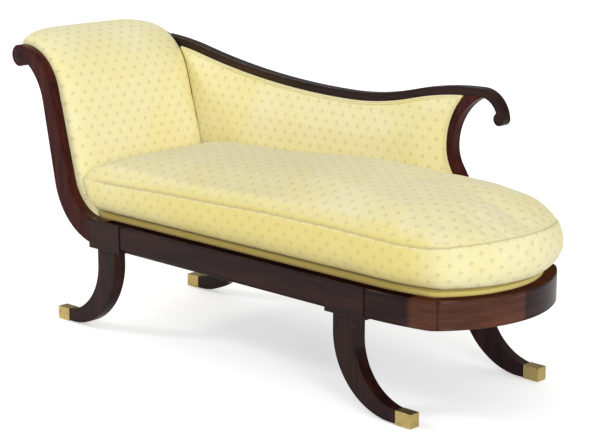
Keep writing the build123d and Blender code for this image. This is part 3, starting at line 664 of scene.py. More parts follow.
@dataclass(frozen=True)
class SprigWeave:
    """Butter-yellow cloth woven with a small staggered sprig, drawn on the piece's own UV map in metres, with
    painted light and shade where the mesh marks sides, tops and creases.
    """

    name: str = "sprig_weave"
    with_sprig: bool = True
    ground: Shade = (250, 240, 174)
    pale: Shade = (252, 246, 204)
    sprig: Shade = (186, 168, 122)
    # Painted light and shade: upright is a deeper yellow painted on sides, level a darker, greyer shade
    # painted on tops, and the shade after them a painted crease shade for seams and the deck's top under the
    # cushion.
    upright: Shade = (240, 221, 124)
    level: Shade = (212, 198, 150)
    slub_shade: Shade = (230, 214, 140)
    weave_shade: Shade = (226, 210, 136)
    painted_crease_shade: Shade = (168, 146, 78)
    across: float = 0.0425
    row: float = 0.0272
    thread: float = 0.0011
    leaf: Blob = ((4.1, -0.8), (3.1, 2.2), -0.7)
    bud: Blob = ((0.6, 4.1), (2.7, 3.3), 0.2)
    stem: Blob = ((-0.3, -4.2), (1.3, 3.6), 0.3)
    soft_edge: tuple[float, float] = (1.9, 0.25)

    def sprigs(self, recipe: Recipe, u: Value, v: Value) -> Socket:
        """How much of the sprig's thread shows at a place: two leaves, a bud and a short stem.

        Args:
            recipe: The material's recipe.
            u: Place across the cloth.
            v: Place along the cloth.

        Returns:
            The share, from 0 to 1.
        """
        maths, times = recipe.maths, recipe.times
        rows = maths("DIVIDE", v, self.row)
        odd = maths("MODULO", maths("ABSOLUTE", maths("FLOOR", rows)), 2.0)
        shifted = maths("ADD", maths("DIVIDE", u, self.across), times(odd, 0.5))
        x = times(maths("SUBTRACT", maths("FRACT", shifted), 0.5), self.across * 1000)
        y = times(maths("SUBTRACT", maths("FRACT", rows), 0.5), self.row * 1000)

        def blob(px: Value, centre: tuple[float, float], size: tuple[float, float], slant: float) -> Socket:
            """One rounded leaf or bud, in millimetres about the sprig's middle.

            Args:
                px: Place across the sprig.
                centre: Its middle.
                size: Half its size each way.
                slant: How far it leans.

            Returns:
                Its share, from 0 to 1.
            """
            dx, dy = maths("SUBTRACT", px, centre[0]), maths("SUBTRACT", y, centre[1])
            dx = maths("MULTIPLY_ADD", dy, slant, dx)
            span = [maths("POWER", maths("DIVIDE", gap, reach), 2.0) for gap, reach in zip((dx, dy), size)]
            return recipe.step(maths("ADD", *span), *self.soft_edge)

        ends = maths("MAXIMUM", blob(maths("ABSOLUTE", x), *self.leaf), blob(x, *self.bud))
        return maths("MAXIMUM", ends, blob(x, *self.stem))

    def make(self) -> Material:
        """Make the material.

        Returns:
            The material.
        """
        recipe = Recipe(self.name)
        place = recipe.node("ShaderNodeUVMap", {}, uv_map="cloth").outputs[0]
        u, v, _ = recipe.axes(place)
        warp, weft = (recipe.maths("SINE", recipe.times(way, math.tau / self.thread)) for way in (u, v))
        weave = recipe.times(warp, weft)
        slub = recipe.grain(recipe.scaled(place, (300, 12, 1)), 1.0, 3.0)
        cloud = recipe.grain(recipe.stretched(1, 1, 1), 7.0, 3.0)
        tone = recipe.between(cloud, 0.1, 0.9, self.ground, self.pale)
        # Painted shade: a deeper yellow where the mesh marks sides and a greyer, darker one where it marks
        # tops, for how the light falls on them.
        tone = recipe.wash(tone, self.upright, recipe.marked("upright"), 0.8)
        tone = recipe.wash(tone, self.level, recipe.marked("level"), 0.4)
        tone = recipe.wash(tone, self.slub_shade, recipe.step(slub, 0.4, 0.75), 0.14)
        tone = recipe.mix(recipe.maths("MULTIPLY_ADD", weave, 0.05, 0.05), tone, paint(*self.weave_shade))
        height = recipe.maths("MULTIPLY_ADD", slub, 0.6, weave)
        if self.with_sprig:
            shown = self.sprigs(recipe, u, v)
            tone = recipe.wash(tone, self.sprig, shown, 0.39)
            height = recipe.maths("MULTIPLY_ADD", shown, 0.9, height)
        # Painted shade: darker where the mesh marks seams, and on the deck's top under the cushion.
        return recipe.finish(
            Base_Color=recipe.wash(tone, self.painted_crease_shade, recipe.marked("seam"), 0.5),
            Roughness=0.86,
            Specular_IOR_Level=0.22,
            Sheen_Weight=0.3,
            Sheen_Roughness=0.5,
            Sheen_Tint=(1.0, 0.98, 0.93, 1.0),
            Normal=recipe.bump(height, 0.3, 0.00025),
        )


@dataclass(frozen=True)
class HiddenCloth:
    """Plain weave of the inside layers, on Object coordinates."""

    name: str
    shade: Shade
    thread_shade: Shade
    thread: float = 0.0018

    def make(self) -> Material:
        """Make the material.

        Returns:
            The material.
        """
        recipe = Recipe(self.name)
        waves = [
            recipe.maths("SINE", way)
            for way in recipe.axes(recipe.stretched(*[math.tau / self.thread] * 3))
        ]
        weave = recipe.maths("ADD", recipe.times(waves[0], waves[1]), waves[2])
        uneven = recipe.grain(recipe.stretched(1, 1, 1), 40.0, 4.0)
        tone = recipe.between(weave, -1.0, 1.0, self.shade, self.thread_shade)
        return recipe.finish(
            Base_Color=recipe.wash(tone, self.shade, uneven, 0.3),
            Roughness=0.92,
            Specular_IOR_Level=0.15,
            Normal=recipe.bump(weave, 0.3, 0.0003),
        )


@dataclass(frozen=True)
class Beech:
    """Bare beech of the hidden frame."""

    def make(self) -> Material:
        """Make the material.

        Returns:
            The material.
        """
        recipe = Recipe("bare_beech")
        figure = recipe.grain(recipe.stretched(2, 18, 18), 7.0, 5.0, 0.4)
        fleck = recipe.step(recipe.grain(recipe.stretched(60, 300, 300), 2.0, 2.0), 0.6, 0.75)
        tone = recipe.between(figure, 0.3, 0.7, (196, 158, 112), (222, 190, 146))
        tone = recipe.wash(tone, (160, 120, 82), fleck, 0.4)
        return recipe.finish(Base_Color=tone, Roughness=0.6, Normal=recipe.bump(figure, 0.1, 0.0004))


@dataclass(frozen=True)
class DrawnSteel:
    """Drawn steel wire, bolts and glides."""

    def make(self) -> Material:
        """Make the material.

        Returns:
            The material.
        """
        recipe = Recipe("drawn_steel")
        streak = recipe.grain(recipe.stretched(200, 30, 200), 3.0, 3.0)
        tone = recipe.between(streak, 0.3, 0.7, (120, 122, 126), (168, 170, 174))
        rough = recipe.maths("MULTIPLY_ADD", streak, 0.2, 0.3)
        return recipe.finish(
            Base_Color=tone, Metallic=1.0, Roughness=rough, Normal=recipe.bump(streak, 0.1, 0.0002)
        )


class Finishes:
    """Every finish on the piece, made once."""

    def __init__(self) -> None:
        """Make them."""
        self.rail_wood = Mahogany("lengthwise", Grain.LENGTHWISE).make()
        self.leg_wood = Mahogany("upright", Grain.UPRIGHT).make()
        warmer: Shades = ((50, 18, 16), (74, 29, 25), (94, 42, 34))
        self.post_wood = Mahogany("post", Grain.UPRIGHT, warmer, gloss=0.06, coat=0.14).make()
        # Painted light: the apron's foot end is paler on its front half, where the light falls on it.
        self.apron_wood = Mahogany("apron", Grain.AROUND, painted_lit_from=0.725, painted_lit_until=-0.005).make()
        # Painted shade: the rails' top faces take darker, dull shades without polish, for the shade under the
        # seat, and paler painted light at the foot.
        dull: Shades = ((20, 10, 9), (34, 17, 14), (48, 26, 20))
        self.painted_shade_ledge_wood = Mahogany("painted_shade_ledge", Grain.AROUND, dull, painted_lit_from=0.725, gloss=0.0, coat=0.0).make()
        self.brass = PolishedBrass().make()
        self.sprig = SprigWeave().make()
        self.welt = SprigWeave(name="welt_weave", with_sprig=False).make()
        # Painted light and shade: the deck's cloth is a sunlit copy of the sprig weave with a shaded upright
        # band, and its cord a darker, shaded copy.
        shaded, sunlit, sunlit_pale = (186, 160, 66), (245, 228, 124), (248, 233, 142)
        self.deck = SprigWeave("deck_weave", ground=sunlit, pale=sunlit_pale, upright=shaded).make()
        self.deck_cord = SprigWeave("deck_cord_weave", False, (196, 172, 84), (204, 181, 96)).make()
        self.cambric = HiddenCloth("dust_cover_cambric", (38, 36, 36), (62, 60, 60)).make()
        self.hessian = HiddenCloth("jute_hessian", (150, 122, 82), (182, 154, 108), 0.0026).make()
        self.webbing = HiddenCloth("jute_webbing", (170, 142, 96), (128, 60, 46), 0.0032).make()
        self.beech = Beech().make()
        self.steel = DrawnSteel().make()


# ---------------------------------------------------------------- show wood
@dataclass
class ShowWood:
    """Every polished part of the frame: rails, blocks, sabre legs, head posts, crest rail and strut."""

    finishes: Finishes
    crisp: float = 55.0
    painted_shade_ledge: float = 0.40

    def cuts(self) -> dict[Material, list[str]]:
        """Names of the solids by the cut of wood that they are made of.

        Returns:
            The names, for each cut.
        """
        made = self.finishes
        corners = [f"{side}_{end}" for side in ("front", "back") for end in ("head", "foot")]
        return {
            made.rail_wood: [
                "front_rail", "back_rail", "crest_rail", *[f"leg_block_{corner}" for corner in corners]
            ],
            made.apron_wood: ["foot_corner_front", "foot_corner_back", "foot_end_rail"],
            made.post_wood: ["foot_strut", "head_post_front", "head_post_back"],
            made.leg_wood: [f"sabre_leg_{corner}" for corner in corners],
        }

    def polish(self, node: str, finish: Material) -> None:
        """Replace a solid with a joined copy whose broken edges catch the light softly.

        Args:
            node: The solid's name.
            finish: Its wood.
        """
        piece = add_piece(node + "_finished", joined_copy(node, FLAT_ANGLE), finish, self.crisp)
        # Painted shade: level top faces of the rails below a height take the darker ledge wood.
        if node.endswith("_rail") or node.startswith("foot_corner"):
            piece.data.materials.append(self.finishes.painted_shade_ledge_wood)
            for face in piece.data.polygons:
                face.material_index = int(face.normal.z > 0.95 and face.center.z < self.painted_shade_ledge)
        soft = piece.modifiers.new("Even shading", "WEIGHTED_NORMAL")
        soft.keep_sharp, soft.weight = True, 80
        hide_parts(node)

    def build(self) -> None:
        """Finish all of them."""
        for finish, nodes in self.cuts().items():
            for node in nodes:
                self.polish(node, finish)


@dataclass
class ScrollRosettes:
    """Carved rosettes on the outer faces of the head's two scrolls."""

    finishes: Finishes
    centre_x: float = -0.853
    centre_z: float = 0.808
    face_y: float = 0.286
    radius: float = 0.020
    height: float = 0.003
    eye: float = 0.006
    petals: int = 8
    twist: float = 2.4
    rings: int = 14
    around: int = 64

    def disc(self, bm: BMesh, side: int) -> None:
        """Carve one rosette: a rim, a ring of petals and a domed eye.

        Args:
            bm: The mesh.
            side: -1 for the front scroll, 1 for the back one.
        """
        every = bmesh.ops.create_circle(bm, cap_ends=False, radius=self.radius, segments=self.around)["verts"]
        edges = base = list(dict.fromkeys(edge for vert in every for edge in vert.link_edges))
        for left in range(self.rings - 1, 0, -1):
            edges, verts = extruded(bm, edges)
            share = left / (left + 1)
            bmesh.ops.scale(bm, vec=(share, share, 1), verts=verts)
            every = every + verts
        bmesh.ops.contextual_create(bm, geom=edges)
        for vert in every:
            vert.co.z = self.relief(vert.co.xy.length, math.atan2(vert.co.y, vert.co.x))
        bmesh.ops.transform(bm, matrix=Matrix.Rotation(math.radians(90), 4, "X"), verts=every)
        for vert in every:
            out = side * (self.face_y + abs(vert.co.y))
            vert.co = Vector((self.centre_x + vert.co.x, out, self.centre_z + vert.co.z))
        bmesh.ops.contextual_create(bm, geom=base)

    def relief(self, reach: float, turn: float) -> float:
        """Height of the carving at a distance and angle from its middle.

        Args:
            reach: Distance from the middle.
            turn: Angle round it.

        Returns:
            The height.
        """
        share = reach / self.radius
        if reach < self.eye:
            return self.height * (0.62 + 0.38 * math.sqrt(max(0.0, 1 - (reach / self.eye) ** 2)))
        valley = 0.5 + 0.5 * math.cos(self.petals * turn + self.twist * share)
        petal = math.sin(math.pi * min(1.0, (share - 0.3) / 0.62)) ** 0.7 if share < 0.92 else 0.0
        rim = ease((1 - share) / 0.06) * 0.55
        return self.height * min(1.0, rim * (0.35 + 0.25 * share) + 0.6 * petal * (0.25 + 0.75 * valley))

    def build(self) -> None:
        """Carve both rosettes as one piece."""
        bm = bmesh.new()
        for side in (-1, 1):
            self.disc(bm, side)
        outward(bm)
        piece = add_piece("scroll_rosettes_carved", bm, self.finishes.leg_wood)
        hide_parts("scroll_rosettes")


@dataclass
class ToeCaps:
    """Square brass caps on the toes of the sabre legs."""

    finishes: Finishes
    crisp: float = 40.0
    eased: float = 0.0005

    def build(self) -> None:
        """Finish the four caps with joined copies."""
        for corner in ("front_head", "front_foot", "back_head", "back_foot"):
            node = f"toe_cap_{corner}"
            piece = add_piece(
                node + "_finished", joined_copy(node, FLAT_ANGLE), self.finishes.brass, self.crisp
            )
            bevel = piece.modifiers.new("Eased edges", "BEVEL")
            bevel.width, bevel.segments, bevel.limit_method = self.eased, 2, "ANGLE"
            bevel.harden_normals = True
            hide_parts(node)


# ---------------------------------------------------------------- head curves
def on_circle(centre: Vector, radius: float, angle: float) -> Vector:
    """Point in the X-Z plane at an angle in radians from a centre."""
    return Vector((centre.x + radius * math.cos(angle), 0, centre.z + radius * math.sin(angle)))


@dataclass(frozen=True)
class HeadCurve:
    """The head's inner curve in side view, from the seat up over the scroll, with any padding on it."""

    scroll: Vector = Vector((-0.853, 0, 0.808))
    crown: Vector = Vector((-0.853, 0, 0.681))
    knee: Vector = Vector((-0.494, 0, 0.485))
    crown_radius: float = 0.160
    knee_radius: float = 0.138
    scroll_radius: float = 0.033
    lean: float = math.radians(14.60)
    foot_x: float = -0.532
    roll_reach: float = 0.018
    wrap: float = math.radians(215)
    rail_radius: float = 0.0312

    def lean_ends(self, stand: float) -> tuple[Vector, Vector]:
        """Low and high end of the straight lean at a padding depth."""
        low = on_circle(self.knee, self.knee_radius - stand, self.lean + math.pi)
        return low, on_circle(self.crown, self.crown_radius + stand, self.lean)

    def lengths(self, stand: float) -> list[float]:
        """Lengths of the knee, the lean, the crown and the roll at a padding depth.

        Args:
            stand: The padding's depth.

        Returns:
            The four lengths.
        """
        low, high = self.lean_ends(stand)
        return [
            (self.knee_radius - stand) * (self.knee_angle(stand) - self.lean - math.pi),
            (high - low).length,
            (self.crown_radius + stand) * (math.pi / 2 - self.lean),
            (self.scroll_radius + stand) * (self.wrap - math.pi / 2),
        ]

    def knee_angle(self, stand: float) -> float:
        """Angle on the knee's circle where the padding reaches the seat."""
        share = (self.knee.x - self.foot_x) / (self.knee_radius - stand)
        return math.pi + math.acos(min(max(share, -1.0), 1.0))

    def depth(self, place: Vector) -> float:
        """How far a place in side view stands in front of the post's own line.

        Args:
            place: The place.

        Returns:
            The distance, more than 0 on the padding's side.
        """
        flat, (low, high) = onto(place, y=0), self.lean_ends(0.0)
        normal = Vector((math.cos(self.lean), 0, math.sin(self.lean)))
        upward = Vector((-normal.z, 0, normal.x))
        if (flat - high).dot(upward) > 0:
            return (flat - self.crown).length - self.crown_radius
        if (flat - low).dot(upward) < 0 and flat.x < self.knee.x:
            return self.knee_radius - (flat - self.knee).length
        return (flat - high).dot(normal)

    def point(self, leg: int, share: float, stand: float) -> Vector:
        """Place on one leg of the curve.

        Args:
            leg: 0 knee, 1 lean, 2 crown, 3 roll.
            share: How far along the leg, from 0 to 1.
            stand: Padding depth in front of the post's own line.

        Returns:
            The place, in the X-Z plane.
        """
        if leg == 0:
            start = self.knee_angle(stand)
            return on_circle(
                self.knee, self.knee_radius - stand, start + share * (self.lean + math.pi - start)
            )
        if leg == 1:
            low, high = self.lean_ends(stand)
            return low.lerp(high, share)
        if leg == 2:
            place = on_circle(
                self.crown, self.crown_radius + stand, self.lean + share * (math.pi / 2 - self.lean)
            )
        else:
            angle = math.pi / 2 + share * (self.wrap - math.pi / 2)
            across = max(self.roll_reach + stand, self.rail_radius)
            upward = max(self.scroll_radius + stand, self.rail_radius)
            place = self.scroll + Vector((across * math.cos(angle), 0, upward * math.sin(angle)))
        away = place - self.scroll
        return self.scroll + away.normalized() * self.rail_radius if away.length < self.rail_radius else place


@dataclass
class HeadPad:
    """Inside of the head: padded over the scroll and down to the seat, with a welt along each post."""

    finishes: Finishes
    curve: HeadCurve = HeadCurve()
    half_width: float = 0.2547
    full_stand: float = 0.044
    back_stand: float = -0.0117
    low_edge: tuple[float, float, float] = (0.014, 0.062, 2.3)
    front_roll: tuple[float, float, float] = (0.008, 0.105, 2.0)
    back_roll: tuple[float, float, float] = (0.014, 0.155, 1.9)
    pitch: float = 0.009
    welt_radius: float = 0.0024
    welt_y: float = -0.2525
    welt_stands: tuple[float, float] = (0.0016, 0.0062)
    tacking: Wave = Wave(0.0011, 26, 0, 3.0)
    billow: Wave = Wave(0.0016, 5, 5, 9.0)
    crown: float = 0.003

    def stand(self, y: float, up: float) -> float:
        """Padding depth at a distance from the middle and a place up the curve, in legs.

        The edge's depth, the shoulder's width and its squareness change from the seat up to the roll, and
        sooner beside the back, where the cloth is pulled down behind the crest rail.

        Args:
            y: Distance from the middle.
            up: Place up the curve, in legs.

        Returns:
            The depth.
        """
        over = ease(up, 1.2, 1.0) if y > 0 else ease(up, 1.7, 0.9)
        roll = self.back_roll if y > 0 else self.front_roll
        edge, reach, power = (low + (high - low) * over for low, high in zip(self.low_edge, roll))
        share = min(1.0, (self.half_width - abs(y)) / reach)
        round_over = (1 - (1 - share) ** power) ** (1 / power)
        return (
            edge
            + (self.full_stand - self.crown - edge) * round_over
            + self.crown * (1 - (y / self.half_width) ** 2)
        )

    def cross_section(self, up: float = 0.0) -> list[tuple[float, float, float]]:
        """Closed ring of (y, stand, run across the cloth) round the pad, side to side and back.

        Args:
            up: Place up the curve, in legs.

        Returns:
            The ring.
        """
        width, behind = self.half_width, self.back_stand
        side_steps, front_steps, back_steps = 4, round(2 * self.half_width / self.pitch), 12

        def levels(y: float) -> list[tuple[float, float]]:
            """Depths up one side from the back, each with the edge's."""
            edge = self.stand(y, up)
            return [(behind + (edge - behind) * step / side_steps, edge) for step in range(side_steps)]

        ring = [(-width, level, level - edge - width) for level, edge in levels(-width)]
        for step in range(front_steps + 1):
            turn = -1 + 2 * step / front_steps
            y = width * math.copysign(1 - (1 - abs(turn)) ** 1.3, turn)
            ring.append((y, self.stand(y, up), y))
        ring += [(width, level, width + edge - level) for level, edge in reversed(levels(width))]
        across = [width * (1 - 2 * step / back_steps) for step in range(1, back_steps)]
        return ring + [(y, behind, 2 * width + (width - y)) for y in across]

    def legs(self) -> list[Station]:
        """Stations up the curve."""
        return stations_up(self.curve.lengths(self.full_stand), self.pitch)

    def loft(self) -> BMesh:
        """Carry the cross-section up the curve and close both ends.

        Returns:
            The closed pad.
        """
        bm = bmesh.new()
        uv = bm.loops.layers.uv.new("cloth")
        run, across = bm.verts.layers.float.new("run"), bm.verts.layers.float.new("across")
        hidden = bm.verts.layers.int.new("hidden")
        stations = self.legs()

        def places(leg: int, share: float) -> list[Vector]:
            """Where the corners of the cross-section stand at a station.

            Args:
                leg: The head curve's leg.
                share: How far along the leg.

            Returns:
                The corners' places.
            """
            return [
                onto(self.curve.point(leg, share, stand), y=y)
                for y, stand, _ in self.cross_section(leg + share)
            ]

        rings, ends = carry(bm, stations, places)
        ring = self.cross_section()
        for verts, station in zip(rings, stations):
            for vert, (_, stand, side) in zip(verts, ring):
                vert[run], vert[across] = station[2], side
                vert[hidden] = int(stand <= self.back_stand + 1e-6)
        for face in bm.faces:
            behind = sum(loop.vert[across] > 1.5 * self.half_width for loop in face.loops)
            for loop in face.loops:
                side = loop.vert[across]
                if behind and side < -self.half_width:
                    side = 4 * self.half_width
                loop[uv].uv = (side, loop.vert[run])
        for end in ends:
            bmesh.ops.contextual_create(bm, geom=end)
        outward(bm)
        return bm

    def pull(self, bm: BMesh) -> None:
        """Draw the cloth in a little where it is tacked along the posts and down at the seat.

        Args:
            bm: The pad.
        """
        run, across = bm.verts.layers.float["run"], bm.verts.layers.float["across"]
        for vert in bm.verts:
            side = self.half_width - abs(vert[across])
            if side < -0.02 or vert[across] > 1.5 * self.half_width:
                continue
            near = math.exp(-max(side, 0.0) / 0.035)
            tuck = self.tacking.at(vert[run], 0, near, math.copysign(1, vert[across]))
            vert.co += vert.normal * (tuck + self.billow.at(vert[run], vert[across], 1 - near))

    def build(self) -> None:
        """Make the pad, and two cords sewn side by side along each post, where the cloth meets the wood."""
        bm = self.loft()
        bm.normal_update()
        self.pull(bm)
        piece = add_piece("head_pad_upholstered", bm, self.finishes.sprig, CLOTH_CREASE)
        pins = [v.index for v in piece.data.vertices if piece.data.attributes["hidden"].data[v.index].value]
        swell(piece, pins, 0.005, 10)
        subdivide(piece)
        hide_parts("head_pad")
        for name, y in (("front", self.welt_y), ("back", -self.welt_y)):
            for number, stand in enumerate(self.welt_stands, 1):
                path = [onto(self.curve.point(leg, share, stand), y=y) for leg, share, _ in self.legs()]
                tube(f"head_welt_{name}_{number}", path, self.welt_radius, self.finishes.welt)


def swell(piece: Object, pins: Iterable[int], limit: float, frames: int) -> None:
    """Blow a closed cloth up from inside for a few frames, and keep what it settles to.

    Args:
        piece: The closed piece, without modifiers.
        pins: Corners that are held where they are.
        limit: The farthest that a corner may move.
        frames: How many frames it is given.
    """
    scene, mesh = bpy.context.scene, piece.data
    before = [vert.co.copy() for vert in mesh.vertices]
    held = piece.vertex_groups.new(name="held")
    held.add(list(pins), 1.0, "REPLACE")
    cloth = piece.modifiers.new("Swell", "CLOTH")
    settings = cloth.settings
    settings.quality, settings.mass, settings.air_damping = 6, 0.4, 6.0
    settings.tension_stiffness = settings.compression_stiffness = 18.0
    settings.shear_stiffness, settings.bending_stiffness = 8.0, 1.5
    settings.use_pressure, settings.uniform_pressure_force = True, 4.0
    settings.effector_weights.gravity = 0.0
    settings.vertex_group_mass = held.name
    cloth.collision_settings.use_collision = False
    cloth.point_cache.frame_start, cloth.point_cache.frame_end = 1, frames
    for number in range(1, frames + 1):
        scene.frame_set(number)
    settled = piece.evaluated_get(bpy.context.evaluated_depsgraph_get()).data
    after = [vert.co.copy() for vert in settled.vertices]
    piece.modifiers.remove(cloth)
    piece.vertex_groups.remove(held)
    for vert, old, new in zip(mesh.vertices, before, after):
        shift = new - old
        vert.co = old + shift * min(1.0, limit / max(shift.length, 1e-9))
    scene.frame_set(1)
    log.info("%s: swelled over %d frames", piece.name, frames)


# ---------------------------------------------------------------- back
@dataclass
class BackPad:
    """Inside of the swept back: a padded panel in the frame with a double welt along the wood."""

    finishes: Finishes
    curve: HeadCurve = HeadCurve()
    edge_y: float = 0.2546
    edge_depth: float = 0.008
    base_y: float = 0.260
    foot_z: float = 0.3712
    under_head: float = 0.018
    welt_clear: tuple[float, float] = (0.012, 0.02)
    crown: float = 0.0195
    reach: float = 0.085
    fullness: float = 2.4
    tacking: Wave = Wave(0.0010, 30, 0, 5.0)
    billow: Wave = Wave(0.0012, 6, 6, 21.0)
    pitch: float = 0.0095
    welt_radius: float = 0.0022
    welt_places: tuple[tuple[float, float], ...] = ((0.0024, 0.0022), (0.0070, 0.0050))

    def outline(self) -> list[Vector]:
        """The panel's edge where it leaves the frame, passing a little under the head pad's rounded shoulder.

        Returns:
            The edge, point by point.
        """
        points = section("back_pad", Y, self.base_y)
        start = min(range(len(points)), key=lambda i: self.curve.depth(points[i]))
        points = points[start:] + points[:start]
        kept = [
            point for point in points if self.curve.depth(point) > self.under_head and point.z > self.foot_z
        ]
        high = max(kept[0].z, kept[-1].z)
        under = [self.curve.point(leg, step / 30, self.under_head) for leg in range(3) for step in range(30)]
        under = [place for place in under if self.foot_z < place.z < high]
        if kept[-1].z > kept[0].z:
            under.reverse()
        return even([onto(place, y=self.edge_y) for place in kept + under], 0.008, 1)

    def build(self) -> None:
        """Make the panel, its edge behind, and the welts."""
        edge = self.outline()
        bm = bmesh.new()
        uv = bm.loops.layers.uv.new("cloth")
        net(bm, flat_face(bm, edge, -Y), (0.003, 0.005), self.pitch)
        lay_cloth(bm.faces, uv, lambda vert: vert.co.xz)
        nearest = nearest_on(edge)
        for vert in bm.verts:
            gap = nearest(vert.co)[2]
            share = min(1.0, gap / self.reach)
            rise = self.crown * (1 - (1 - share) ** self.fullness)
            rise += self.billow.at(vert.co.x, vert.co.z, share)
            vert.co.y -= rise + self.tacking.at(vert.co.x - vert.co.z, 0, math.exp(-gap / 0.03))
        edges, verts = extruded(bm, rim_of(bm))
        bmesh.ops.translate(bm, verts=verts, vec=(0, self.edge_depth, 0))
        close_flat(bm, edges)
        outward(bm)
        piece = add_piece("back_pad_upholstered", bm, self.finishes.sprig, CLOTH_CREASE)
        pins = [v.index for v in piece.data.vertices if v.co.y > self.edge_y - 0.0015]
        swell(piece, pins, 0.004, 8)
        subdivide(piece)
        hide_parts("back_pad")
        self.welts(edge)

    def welts(self, edge: Sequence[Vector]) -> None:
        """Two cords side by side along the crest rail and the strut.

        Args:
            edge: The panel's edge.
        """
        middle = sum(edge, Vector()) / len(edge)
        clear, low = self.under_head + self.welt_clear[0], self.foot_z + self.welt_clear[1]
        beside = [self.curve.depth(point) > clear and point.z > low for point in edge]
        start = next(i for i in range(len(edge)) if beside[i] and not beside[i - 1])
        count = (beside[start:] + beside[:start]).index(False)
        run = (edge[start:] + edge[:start])[:count]
        for number, (gap, rise) in enumerate(self.welt_places, 1):
            path = []
            for place, point in enumerate(run):
                before, after = run[max(place - 1, 0)], run[min(place + 1, count - 1)]
                inward = (after - before).normalized().cross(Y)
                if inward.dot(middle - point) < 0:
                    inward = -inward
                path.append(point + inward * gap - Y * rise)
            tube(f"back_welt_{number}", path, self.welt_radius, self.finishes.welt)


@dataclass
class OutsideBack:
    """Outside of the swept back: cloth drawn over a board, with a cord round its edge."""

    finishes: Finishes
    face_y: float = 0.284
    back_y: float = 0.2802
    puff: float = 0.0008
    edge_round: float = 0.012
    cord_in: float = 0.0022
    cord_down: float = 0.0012
    pitch: float = 0.02
    welt_radius: float = 0.0018

    def build(self) -> None:
        """Make the covered board and its cord."""
        edge = even(section("outside_back_panel", Y, (self.face_y + self.back_y) / 2), 0.01, 1)
        bm = bmesh.new()
        uv = bm.loops.layers.uv.new("cloth")
        level = [onto(point, y=self.back_y) for point in edge]
        net(bm, flat_face(bm, level, Y), (0.003, 0.006, 0.010), self.pitch)
        lay_cloth(bm.faces, uv, lambda vert: (-vert.co.x, vert.co.z))
        nearest = nearest_on(level)
        for vert in bm.verts:
            gap = nearest(vert.co)[2]
            vert.co.y += (self.face_y - self.puff - self.back_y) * (
                1 - (1 - min(1.0, gap / self.edge_round)) ** 2
            )
            vert.co.y += self.puff * ease(gap, 0, 0.1)
        close_flat(bm, rim_of(bm))
        outward(bm)
        piece = add_piece("outside_back_panel_covered", bm, self.finishes.sprig, CLOTH_CREASE)
        subdivide(piece)
        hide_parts("outside_back_panel")
        path = [onto(point, y=self.face_y - self.cord_down) for point in edge]
        middle = sum(path, Vector()) / len(path)
        inside = [point + (middle - point).normalized() * self.cord_in for point in path]
        tube("outside_back_cord", inside, self.welt_radius, self.finishes.welt, closed=True)


@dataclass
class OutsideHead:
    """Outside of the head: cloth drawn over a curved board between the posts."""

    finishes: Finishes
    knee: Vector = Vector((-0.487, 0, 0.476))
    knee_radius: float = 0.208
    underside: Vector = Vector((-0.91113, 0, 0.64294))
    underside_radius: float = 0.175
    lean: float = math.radians(11.34)
    knee_end: float = math.radians(258)
    scroll_angle: float = math.radians(66)
    half_width: float = 0.2547
    outer: float = 0.0022
    inner: float = 0.0058
    pitch: float = 0.016
    edge_round: float = 0.012
    cord: float = 0.0018
    cord_y: float = 0.2529

    def point(self, leg: int, share: float, inset: float) -> Vector:
        """Place on the board's side view: 0 knee, 1 lean, 2 underside of the roll.

        Args:
            leg: 0 knee, 1 lean, 2 underside of the roll.
            share: How far along the leg, from 0 to 1.
            inset: Depth behind the posts' own line.

        Returns:
            The place, in the X-Z plane.
        """
        if leg == 0:
            angle = self.knee_end + share * (self.lean + math.pi - self.knee_end)
            return on_circle(self.knee, self.knee_radius - inset, angle)
        if leg == 1:
            low = on_circle(self.knee, self.knee_radius - inset, self.lean + math.pi)
            return low.lerp(on_circle(self.underside, self.underside_radius + inset, self.lean), share)
        angle = self.lean + share * (self.scroll_angle - self.lean)
        return on_circle(self.underside, self.underside_radius + inset, angle)

    def build(self) -> None:
        """Make the covered board and a cord along each side."""
        bm = bmesh.new()
        uv, run = bm.loops.layers.uv.new("cloth"), bm.verts.layers.float.new("run")
        lengths = []
        for leg in range(3):
            spots = [self.point(leg, i / 8, 0) for i in range(9)]
            lengths.append(sum((spots[i + 1] - spots[i]).length for i in range(8)))
        stations = stations_up(lengths, self.pitch)
        columns = round(2 * self.half_width / self.pitch)
        flat = self.inner - 0.001
        ring = []
        for step in range(columns + 1):
            y = self.half_width * (-1 + 2 * step / columns)
            tight = 1 - (1 - min(1.0, (self.half_width - abs(y)) / self.edge_round)) ** 2
            ring.append((y, flat - (flat - self.outer) * tight))
        ring += [(y, self.inner) for y, _ in reversed(ring[1:-1])]

        def places(leg: int, share: float) -> list[Vector]:
            """Where the corners of the cross-section stand at a station."""
            return [onto(self.point(leg, share, inset), y=y) for y, inset in ring]

        rings, ends = carry(bm, stations, places)
        for verts, station in zip(rings, stations):
            for vert in verts:
                vert[run] = station[2]
        lay_cloth(bm.faces, uv, lambda vert: (-vert.co.y, vert[run]))
        for end in ends:
            bmesh.ops.contextual_create(bm, geom=end)
        outward(bm)
        piece = add_piece("outside_head_panel_covered", bm, self.finishes.sprig, CLOTH_CREASE)
        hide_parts("outside_head_panel")
        for name, y in (("front", -self.cord_y), ("back", self.cord_y)):
            path = [onto(self.point(leg, share, self.outer - 0.0004), y=y) for leg, share, _ in stations]
            tube(f"outside_head_cord_{name}", path, self.cord, self.finishes.welt)


